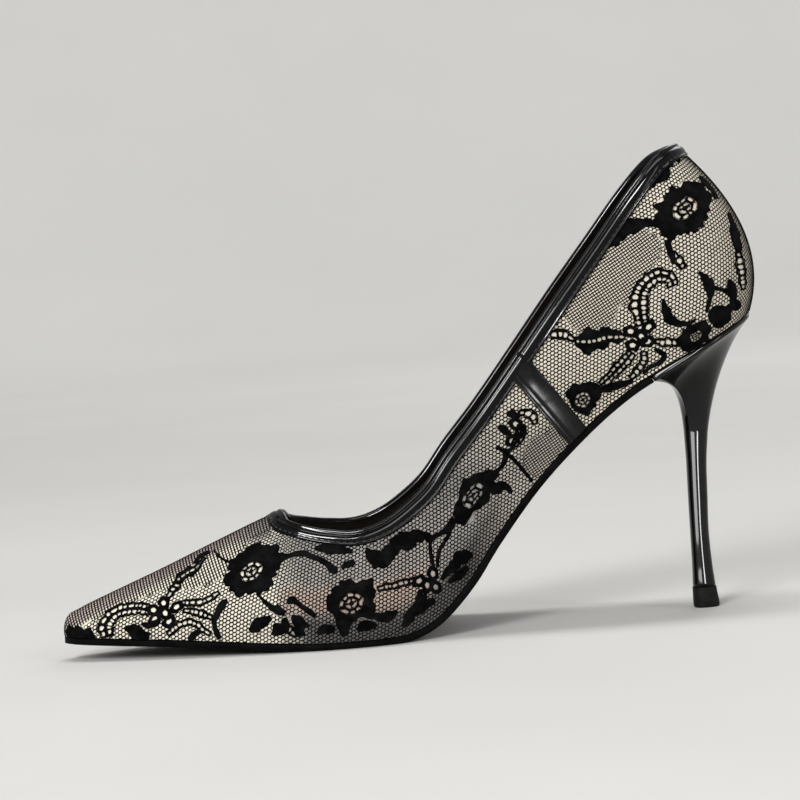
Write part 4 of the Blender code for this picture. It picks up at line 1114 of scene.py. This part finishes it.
class Shader:
    """A Principled material and a few ways to give it grain."""

    def __init__(self, name, **values):
        self.material = bpy.data.materials.new(name)
        self.material.use_nodes = True
        self.tree = self.material.node_tree
        self.principled = self.tree.nodes["Principled BSDF"]
        self.place = self.node("TexCoord").outputs["Object"]
        self.height = None
        self.fill(self.principled, **values)

    def fill(self, node, **values):
        """Sets or links inputs of a node by their names."""
        for name, value in values.items():
            socket = node.inputs[name.replace("_", " ")]
            if isinstance(value, bpy.types.NodeSocket):
                self.tree.links.new(value, socket)
            else:
                socket.default_value = value

    def node(self, kind, **values):
        made = self.tree.nodes.new("ShaderNode" + kind)
        self.fill(made, **values)
        return made

    def noise(self, scale, detail):
        return self.node("TexNoise", Vector=self.place, Scale=scale, Detail=detail).outputs["Fac"]

    def wave(self, period, direction, distortion):
        wave = self.node("TexWave", Vector=self.place, Scale=WAVE_SCALE / period, Distortion=distortion)
        wave.bands_direction = direction
        return wave.outputs["Fac"]

    def blend(self, factor, low, high, stops=BLEND_STOPS):
        """Colour between two, by a factor that counts between two stops."""
        ramp = self.node("ValToRGB", Fac=factor)
        for element, colour, stop in zip(ramp.color_ramp.elements, (low, high), stops):
            element.position = stop
            element.color = (*colour, 1.0)
        return ramp.outputs["Color"]

    def colour(self, factor, *tones):
        self.fill(self.principled, Base_Color=self.blend(factor, *tones))

    def tint(self, attribute, factor, low, high):
        """Colour and alpha from a colour attribute, made uneven by a factor."""
        tone = self.node("Attribute")
        tone.attribute_name = attribute
        uneven = self.blend(factor, (low, low, low), (high, high, high))
        mix = self.node("Mix", Factor=1.0)
        mix.data_type = "RGBA"
        mix.blend_type = "MULTIPLY"
        self.tree.links.new(tone.outputs["Color"], mix.inputs[MIX_FIRST])
        self.tree.links.new(uneven, mix.inputs[MIX_SECOND])
        self.fill(self.principled, Base_Color=mix.outputs[MIX_RESULT], Alpha=tone.outputs["Alpha"])

    def glow(self, start, end, strength):
        """Light of its own that grows with the distance from the middle."""
        reach = self.node("VectorMath", Vector=self.place)
        reach.operation = "LENGTH"
        spread = self.node("MapRange", Value=reach.outputs["Value"], From_Min=start, From_Max=end,
                           To_Max=strength)
        spread.interpolation_type = "SMOOTHSTEP"
        self.fill(self.principled, Emission_Color=GLOW_COLOUR, Emission_Strength=spread.outputs["Result"])

    def rough(self, factor, low, high):
        spread = self.node("MapRange", Value=factor, To_Min=low, To_Max=high)
        self.fill(self.principled, Roughness=spread.outputs["Result"])

    def bump(self, factor, distance):
        """Relief by a factor, on top of what was given before."""
        bump = self.node("Bump", Height=factor, Distance=distance, Strength=1.0)
        if self.height is not None:
            self.fill(bump, Normal=self.height)
        self.height = bump.outputs["Normal"]
        self.fill(self.principled, Normal=self.height)


def make_shader(name, values, colour, rough, grains):
    """Material after a row of the table of looks."""
    shader = Shader(name, **values)
    scale, detail, *tones = colour
    if isinstance(tones[0], str):
        shader.tint(tones[0], shader.noise(scale, detail), *tones[1:])
    else:
        shader.colour(shader.noise(scale, detail), *tones)
    for *pattern, height in grains:
        if isinstance(pattern[1], str):
            shader.bump(shader.wave(*pattern), height)
        else:
            shader.bump(shader.noise(*pattern), height)
    if rough:
        scale, detail, low, high = rough
        shader.rough(shader.noise(scale, detail), low, high)
    return shader


def panel_places(side, front, back, rows, columns):
    """Places on the wall between a front and a back, each given at the sole and at the top."""
    t = np.ones((rows, 1)) * np.linspace(0.0, 1.0, columns)[None]
    first = front[0] + (front[1] - front[0]) * t
    last = back[0] + (back[1] - back[0]) * t
    u = first + (last - first) * np.linspace(0.0, 1.0, rows)[:, None]
    return u, t * collar_share(u, side)


def layered(ground, layers):
    """Colours that start as one ground and take on each layer by its weight."""
    tone = np.ones((*layers[0][1].shape, 4)) * np.array(ground)
    for layer, weight in layers:
        tone = tone + (np.array(layer) - tone) * weight[..., None]
    return tone


def give_tone(thing, tone):
    attribute = thing.data.color_attributes.new("tone", "FLOAT_COLOR", "POINT")
    attribute.data.foreach_set("color", tone.ravel())


def build_lining(materials, slot, name, side, front, back):
    """Lining with an outer face, an inner face and rims."""
    rows, columns = LINING_GRID
    size = rows * columns
    u, v = panel_places(side, front, back, rows, columns)
    grid = np.stack([wall(u, side, v, np.full(u.shape, lift)) for lift in (LINING_OUT, LINING_IN)])
    faces = grid_faces(rows, columns, flip=side == LATERAL)
    outer = len(faces)
    faces += grid_faces(rows, columns, size, flip=side == MEDIAL)
    corner = np.arange(size).reshape(rows, columns)
    rim = np.concatenate((corner[:, 0], corner[-1, 1:], corner[-2::-1, -1], corner[0, -2::-1]))
    faces += [(low, high, high + size, low + size) for low, high in zip(rim[:-1].tolist(), rim[1:].tolist())]
    lining = mesh_object(name, grid.reshape(-1, 3), faces)
    finish_piece(lining, materials, slot, "upper")
    lining.data.polygons.foreach_set("material_index", (np.arange(len(faces)) >= outer).astype(int))
    depth = run_along(grid[:, :, ::-1], axis=2)[:, :, ::-1]
    give_tone(lining, layered(TOE_TONE, (
        (RIDGE_TONE, 1.0 - ease(depth, *RIDGE_FALL)),
        (THROAT_TONE, (1.0 - ease(depth, *THROAT_FALL)) * ease(grid[..., 0], *THROAT_START)))))


def build_sheer(materials, slot, name, side, front, back):
    """Fine tulle behind the lace between the two linings: it fades out of them, and darkens to the sole."""
    rows, columns = SHEER_GRID
    u, v = panel_places(side, front, back, rows, columns)
    points = wall(u, side, v, np.full(u.shape, LINING_OUT))
    height = run_along(points, axis=1)
    reach = run_along(points)
    to_quarter = reach[-1] - reach
    x = points[..., 0]
    band = ease(height, *BLUSH_RISE) * (1.0 - ease(height, *BLUSH_FALL))
    sheet = mesh_object(name, points.reshape(-1, 3), grid_faces(rows, columns, flip=side == LATERAL))
    give_tone(sheet, layered(SHEER_TONE, (
        (TOE_TONE, 1.0 - ease(x, *LINING_END)),
        (BLUSH_TONE, band * ease(x, *BLUSH_START) * (1.0 - ease(x, *BLUSH_END))),
        (LINING_TONE, 1.0 - ease(to_quarter, 0.0, QUARTER_FADE)),
        (LOW_DARK_TONE, (1.0 - ease(height, *LOW_DARK_RISE)) * ease(x, *LOW_DARK_START)),
        (HEM_TONE, (1.0 - ease(height, *HEM_RISE)) * ease(x, *HEM_START)),
        (LINING_TONE, 1.0 - ease(to_quarter, 0.0, QUARTER_JOIN)))))
    finish_piece(sheet, materials, slot, "upper")


def collar_places(side):
    """Evenly spaced places along the collar of one side, from the throat back."""
    u = np.linspace(THROAT_ROW, LAST_ROW, COLLAR_FINENESS)
    u = THROAT_ROW + (u - THROAT_ROW) ** 2 / (LAST_ROW - THROAT_ROW)
    reach = run_along(wall_point(u, side, collar_share(u, side)))
    return np.interp(np.linspace(0.0, reach[-1], TRIM_STATIONS + 1), reach, u)


def tracks_down(u, side, v, down):
    """Places that start on the collar and go down the wall in given directions, by a step at a time."""
    tracks = [(u, v)]
    for _ in range(TRACK_STEPS):
        by_u, by_v = (stride / (2.0 * WALL_STEP) for stride in wall_strides(u, side, v))
        uu = (by_u * by_u).sum(axis=1)
        uv = (by_u * by_v).sum(axis=1)
        vv = (by_v * by_v).sum(axis=1)
        du = (by_u * down).sum(axis=1)
        dv = (by_v * down).sum(axis=1)
        det = uu * vv - uv * uv
        u = u + TRACK_STEP * (du * vv - dv * uv) / det
        v = v + TRACK_STEP * (dv * uu - du * uv) / det
        tracks.append((u, v))
    return np.array(tracks)


def trim_lines(side, u, along):
    """Lines of the trim's profile on one side, at places of the collar that runs in directions along."""
    v = collar_share(u, side)
    normal = wall_normal(u, side, v)
    down = np.cross(along, normal)
    edge = wall_point(u, side, v)
    tracks = tracks_down(u, side, v, down)
    station = np.arange(len(u))
    slim = THROAT_SLIM + (1.0 - THROAT_SLIM) * ease(u, THROAT_ROW, THROAT_ROW + THROAT_SLIM_ROWS)
    doubled = np.zeros(len(u))
    deeper = np.ones(len(u))
    if side == MEDIAL:
        doubled = TRIM_STEP_OUT * np.clip((u - TRIM_STEP_U) / TRIM_STEP_RUN, 0.0, 1.0)
    else:
        deeper = 1.0 + (INNER_DEEP - 1.0) * (ease(u, *DEEP_START) * (1.0 - ease(u, *DEEP_END)))
    lines = []
    for depth, offset in TRIM_PROFILE:
        lift = offset * slim + doubled if offset > 0.0 else np.full(len(u), offset)
        if depth <= 0.0:
            lines.append(edge + down * depth + normal * lift[:, None])
            continue
        depths = np.full(len(u), depth)
        if offset < 0.0:
            depths = depths * deeper
        elif depth > TRIM_FOLD_DEPTH:
            depths = depths + TRIM_FOLD_SHARE * doubled
        at = depths / TRACK_STEP
        low = np.clip(at.astype(int), 0, TRACK_STEPS - 1)
        share = (at - low)[:, None]
        at_u, at_v = (tracks[low, :, station] * (1.0 - share) + tracks[low + 1, :, station] * share).T
        lines.append(wall(at_u, side, at_v, lift))
    return np.stack(lines, 1)


def build_trim(materials):
    """Patent strip folded over the collar, with a bead between two edges. Returns its lines of points."""
    stations = {side: collar_places(side) for side in SIDES}
    edges = {side: wall_point(u, side, collar_share(u, side)) for side, u in stations.items()}
    loop = np.concatenate((edges[MEDIAL], edges[LATERAL][-2:0:-1]))
    along = unit(np.roll(loop, -1, axis=0) - np.roll(loop, 1, axis=0))
    split = TRIM_STATIONS + 1
    points = np.concatenate((trim_lines(MEDIAL, stations[MEDIAL], along[:split]),
                             trim_lines(LATERAL, stations[LATERAL][-2:0:-1], along[split:])))
    count, lines, _ = points.shape
    faces = grid_faces(count, lines, around=True, closed=True)
    trim = mesh_object("topline_trim", points.reshape(-1, 3), faces)
    finish_piece(trim, (materials["patent"], materials["facing"]), "patent_black", "topline_binding")
    depths, offsets = np.transpose(TRIM_PROFILE)
    inner = (offsets < 0.0) & (np.roll(offsets, -1) < 0.0) & (depths > FACING_DEPTH)
    trim.data.polygons.foreach_set("material_index", np.tile(inner.astype(int), count))
    return points


def build_stitches(materials, trim_points):
    """Row of stitches in the groove of the trim."""
    low, high = (trim_points[:, line] for line in STITCH_LINES)
    groove = np.concatenate(((low + high) / 2.0, (low + high)[:1] / 2.0))
    reach = run_along(groove)
    starts = np.arange(0.0, reach[-1] - STITCH_PITCH, STITCH_PITCH)
    shares, swell = np.transpose(STITCH_PROFILE)
    spine = at_distances(groove, reach, starts[:, None] + STITCH_LENGTH * shares)
    along = unit(spine[:, -1:] - spine[:, :1])
    middle = np.array((groove[:, 0].mean(), groove[:, 1].mean(), 0.0))
    across = unit(np.cross(along, (spine - middle) * (0.0, 1.0, 0.0)))
    out = np.cross(across, along)
    turns = np.linspace(0.0, 2.0 * np.pi, STITCH_SIDES, endpoint=False)
    rings = across[:, :, None] * np.cos(turns)[:, None] + out[:, :, None] * np.sin(turns)[:, None]
    points = spine[:, :, None] + rings * (STITCH_HALF * swell)[None, :, None, None]
    faces = []
    for stitch in range(len(starts)):
        faces += grid_faces(len(shares), STITCH_SIDES, stitch * len(shares) * STITCH_SIDES, around=True)
    stitches = mesh_object("trim_stitches", points.reshape(-1, 3), faces)
    finish_piece(stitches, (materials["stitch"],), "patent_black")


def build_band(materials):
    """Patent strip on the inner side: a rolled front edge with two lines, and a soft crease across it."""
    across, lifts = np.transpose(BAND_PROFILE)
    t, share = np.meshgrid(np.linspace(*BAND_SPAN), across, indexing="ij")
    u = BAND_FRONT_U + (BAND_BACK_U - BAND_FRONT_U) * share
    crease_t, crease_fall, crease_width, crease_depth = BAND_CREASE
    crease = t - (crease_t - crease_fall * share)
    lift = lifts - crease_depth * np.exp(-(crease / crease_width) ** 2) * (lifts > 0.0)
    swell_t, swell_width, swell_lift = BAND_SWELL
    lift = lift + swell_lift * np.exp(-((t - swell_t) / swell_width) ** 2) * np.sin(np.pi * share)
    points = wall(u, MEDIAL, t * collar_share(u, MEDIAL), np.maximum(lift, 0.0))
    band = mesh_object("side_strap", points.reshape(-1, 3), grid_faces(*u.shape, flip=True))
    finish_piece(band, (materials["strap"],), "patent_black", "side_band")


def build_back_seam(materials):
    """Narrow strip over the seam at the back of the heel."""
    t = np.linspace(0.0, 1.0, SEAM_STEPS)
    rows = []
    for side, short, lift in both_sides(SEAM_PROFILE):
        u = np.full(t.shape, LAST_ROW - short)
        rows.append(wall(u, side, t * collar_share(u, side), np.full(t.shape, lift)))
    seam = mesh_object("back_seam", np.concatenate(rows), grid_faces(len(rows), SEAM_STEPS))
    finish_piece(seam, (materials["motif"],), "lace_fabric")


def build_sole(materials):
    """Thin sole with rounded edges, flat where it stands."""
    u = np.linspace(SOLE_FRONT_U, SOLE_BACK_U, SOLE_ROWS)
    cut, middle, normal = sole_line(u)
    lines = []
    for side, down, inset in both_sides(SOLE_PROFILE):
        width = foot_half(cut, side)
        place = middle - normal * GAP - normal * (SOLE_EDGE * down)
        place[:, 1] = side * np.maximum(width - np.minimum(inset, SOLE_INSET_MOST * width), 0.0)
        place[:, 2] = np.maximum(place[:, 2], 0.0)
        lines.append(place)
    sole = tube("outsole_edge", np.stack(lines, 1))
    finish_piece(sole, (materials["sole"],), "sole_black", "outsole")


def build_insole(materials):
    """Tan sock: slightly cushioned, with a rolled edge."""
    cut, middle, normal = sole_line(np.linspace(INSOLE_FRONT_U, INSOLE_BACK_U, INSOLE_ROWS))
    facing = np.radians(cut["facing"])
    corners = both_sides(INSOLE_PROFILE)
    corners.insert(len(INSOLE_PROFILE), (MEDIAL, *INSOLE_MIDDLE))
    lines = []
    for side, share, inset, height in corners:
        width = foot_half(cut, side) * share
        shift = -inset * np.sin(facing)
        place = np.stack((middle[:, 0] + shift, side * (width - inset * np.cos(facing)),
                          middle[:, 2] - shift * normal[:, 0] / normal[:, 2]), -1)
        lines.append(place + normal * height)
    insole = tube("insole_sock", np.stack(lines, 1), flip=True)
    finish_piece(insole, (materials["tan"],), "insole_tan", "insole")


def shaft_ring(row, angle):
    """Ring of the heel's shaft at the height of a row, rounder than a rectangle and squarer than an oval."""
    z, front_x, back_x, half_width = row
    power = 2.0 / SHAFT_SQUARENESS
    along, across = (np.sign(wave) * np.abs(wave) ** power for wave in (np.cos(angle), np.sin(angle)))
    middle = (front_x + back_x) / 2.0
    reach = (back_x - front_x) / 2.0
    return np.stack((middle + reach * along, half_width * across, np.full(angle.shape, z)), -1)


def seat_edge():
    """Evenly spaced outline of the heel seat, and the sole's normal at its front."""
    cut, middle, normal = sole_line(np.linspace(HEEL_FRONT_U, LAST_ROW, SEAT_ROWS))
    medial, lateral = (middle - normal * GAP for _ in SIDES)
    medial[:, 1] = -cut["medial"]
    lateral[:, 1] = cut["lateral"]
    front = np.linspace(lateral[0], medial[0], SEAT_FRONT_STEPS)[1:]
    outline = np.concatenate((medial, lateral[-2::-1], front))
    reach = run_along(outline)
    at = np.linspace(0.0, reach[-1], HEEL_SIDES, endpoint=False)
    return at_distances(outline, reach, at), normal[0]


def build_heel(materials):
    """Cup under the seat, drawn in to the slim shaft, and the tip below it."""
    seat, breast = seat_edge()
    middle_x = (SHAFT_ROWS[0][1] + SHAFT_ROWS[0][2]) / 2.0
    angle = np.arctan2(seat[:, 1], seat[:, 0] - middle_x)
    neck = shaft_ring(SHAFT_ROWS[0], angle)
    backness = (1.0 + np.cos(angle)) / 2.0
    cup = {name: (low + (high - low) * backness)[:, None]
           for name, low, high in zip(CUP_COLUMNS, CUP_FRONT, CUP_BACK)}
    upright = np.array((0.0, 0.0, 1.0))
    lip = seat - (breast + (upright - breast) * backness[:, None]) * cup["lip"]
    inward = (neck - lip) * np.array((1.0, 1.0, 0.0))
    low = lip + inward * cup["low_in"] - upright * cup["low_drop"]
    high = neck - inward * cup["high_in"] + upright * cup["high_rise"]
    rings = [seat]
    for step in range(CUP_STEPS):
        rings.append(bezier((lip, low, high, neck), np.full(len(seat), step / CUP_STEPS)))
    rows = np.array(SHAFT_ROWS)
    places = np.linspace(0.0, len(rows) - 1.0, SHAFT_LEVELS * (len(rows) - 1) + 1)
    levels = np.stack([curve_through(column, places, odd=True) for column in rows.T], 1)
    rings += [shaft_ring(level, angle) for level in levels]
    finish_piece(tube("heel_shaft", rings), (materials["gloss"],), "heel_gloss_black", "heel")
    angle = np.linspace(0.0, 2.0 * np.pi, HEEL_SIDES, endpoint=False)
    tip = tube("heel_top_piece", [shaft_ring(row, angle) for row in TIP_ROWS])
    finish_piece(tip, (materials["rubber"],), "tip_rubber", "heel_tip")


def build_lace(materials, side, word):
    """Motifs and net of one side."""
    rng = np.random.default_rng(LACE_SEED + side)
    chart = Chart(side)
    cloth, covers = motifs(chart, rng)
    points, lifts, faces = cloth.joined()
    flowers = mesh_object("lace_motifs_" + word, chart.drape(points, lifts), faces)
    finish_piece(flowers, (materials["motif"],), "lace_fabric")
    points, lifts, faces = net(chart, covers, rng)
    thread = mesh_object("lace_net_" + word, chart.drape(points, lifts), faces, smooth=False)
    finish_piece(thread, (materials["thread"],), "lace_fabric", "upper")


def add_to_scene(name, data):
    thing = bpy.data.objects.new(name, data)
    bpy.context.scene.collection.objects.link(thing)
    return thing


def build_floor():
    """Pale floor that turns up into a plain backdrop all round."""
    shader = make_shader(*FLOOR_LOOK)
    shader.glow(*FLOOR_GLOW)
    shader.material.cycles.emission_sampling = "NONE"
    turn = np.linspace(0.0, math.pi / 2.0, BEND_STEPS)
    reach = np.concatenate(([FLOOR_HOLE], FLOOR_REACH + BACKDROP_BEND * np.sin(turn)))
    height = np.concatenate(([0.0], BACKDROP_BEND * (1.0 - np.cos(turn))))
    reach = np.append(reach, reach[-1])
    height = np.append(height, BACKDROP_TOP)
    angle = np.linspace(0.0, 2.0 * np.pi, STAGE_SIDES, endpoint=False)
    points = np.stack((reach[:, None] * np.cos(angle), reach[:, None] * np.sin(angle),
                       height[:, None] * np.ones(STAGE_SIDES)), -1)
    faces = grid_faces(len(reach), STAGE_SIDES, around=True)
    faces.append(tuple(range(STAGE_SIDES)))
    mesh = bpy.data.meshes.new("floor")
    mesh.from_pydata(points.reshape(-1, 3).tolist(), [], faces)
    mesh.polygons.foreach_set("use_smooth", np.ones(len(mesh.polygons), bool))
    mesh.materials.append(shader.material)
    ground = add_to_scene("floor", mesh)


def build_light(name, place, aim, width, height, power, takers):
    """Soft light; one with takers lights the gloss of those pieces alone."""
    lamp = bpy.data.lights.new(name, "AREA")
    lamp.shape = "RECTANGLE"
    lamp.size = width
    lamp.size_y = height
    lamp.energy = power
    light = add_to_scene(name, lamp)
    light.location = place
    light.rotation_euler = (Vector(aim) - Vector(place)).to_track_quat("-Z", "Y").to_euler()
    light.visible_camera = False
    if takers:
        light.visible_diffuse = False
        receivers = bpy.data.collections.new(name + "_takers")
        for piece in takers:
            receivers.objects.link(bpy.data.objects[piece])
        light.light_linking.receiver_collection = receivers


def build_world():
    world = bpy.data.worlds.new("studio")
    world.use_nodes = True
    background = world.node_tree.nodes["Background"]
    background.inputs["Color"].default_value = WORLD_COLOUR
    background.inputs["Strength"].default_value = WORLD_STRENGTH
    bpy.context.scene.world = world
    bpy.context.scene.view_settings.view_transform = "Standard"


def build_camera():
    """Camera at the photo's place, rolled as it was."""
    place = Vector(CAMERA_PLACE)
    look = (Vector(CAMERA_AIM) - place).normalized()
    right = look.cross(Vector((0.0, 0.0, 1.0))).normalized()
    up = right.cross(look)
    roll = math.radians(CAMERA_ROLL_DEG)
    turned_right = right * math.cos(roll) - up * math.sin(roll)
    turned_up = up * math.cos(roll) + right * math.sin(roll)
    lens = bpy.data.cameras.new("camera")
    lens.sensor_width = CAMERA_SENSOR
    lens.lens = CAMERA_LENS
    camera = add_to_scene("camera", lens)
    matrix = Matrix((turned_right, turned_up, -look)).transposed().to_4x4()
    matrix.translation = place
    camera.matrix_world = matrix
    bpy.context.scene.camera = camera


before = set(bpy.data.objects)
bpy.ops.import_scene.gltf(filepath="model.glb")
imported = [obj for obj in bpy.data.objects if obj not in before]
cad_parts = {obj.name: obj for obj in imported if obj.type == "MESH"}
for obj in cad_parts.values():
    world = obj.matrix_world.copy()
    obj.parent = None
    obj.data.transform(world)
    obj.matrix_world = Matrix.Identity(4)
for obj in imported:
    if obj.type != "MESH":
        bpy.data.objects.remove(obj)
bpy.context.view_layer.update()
build_camera()
materials = {key: make_shader(*look).material for key, look in LOOKS.items()}
for side, word in ((MEDIAL, "medial"), (LATERAL, "lateral")):
    build_lace(materials, side, word)
for name, side, front, back, faces, slot in LININGS:
    build_lining([materials[face] for face in faces], slot, name, side, front, back)
for name, side, front, back in SHEERS:
    build_sheer([materials["sheer"]], "lace_fabric", name, side, front, back)
build_stitches(materials, build_trim(materials))
build_band(materials)
build_back_seam(materials)
build_sole(materials)
build_insole(materials)
build_heel(materials)
build_floor()
for light in LIGHTS:
    build_light(*light)
build_world()
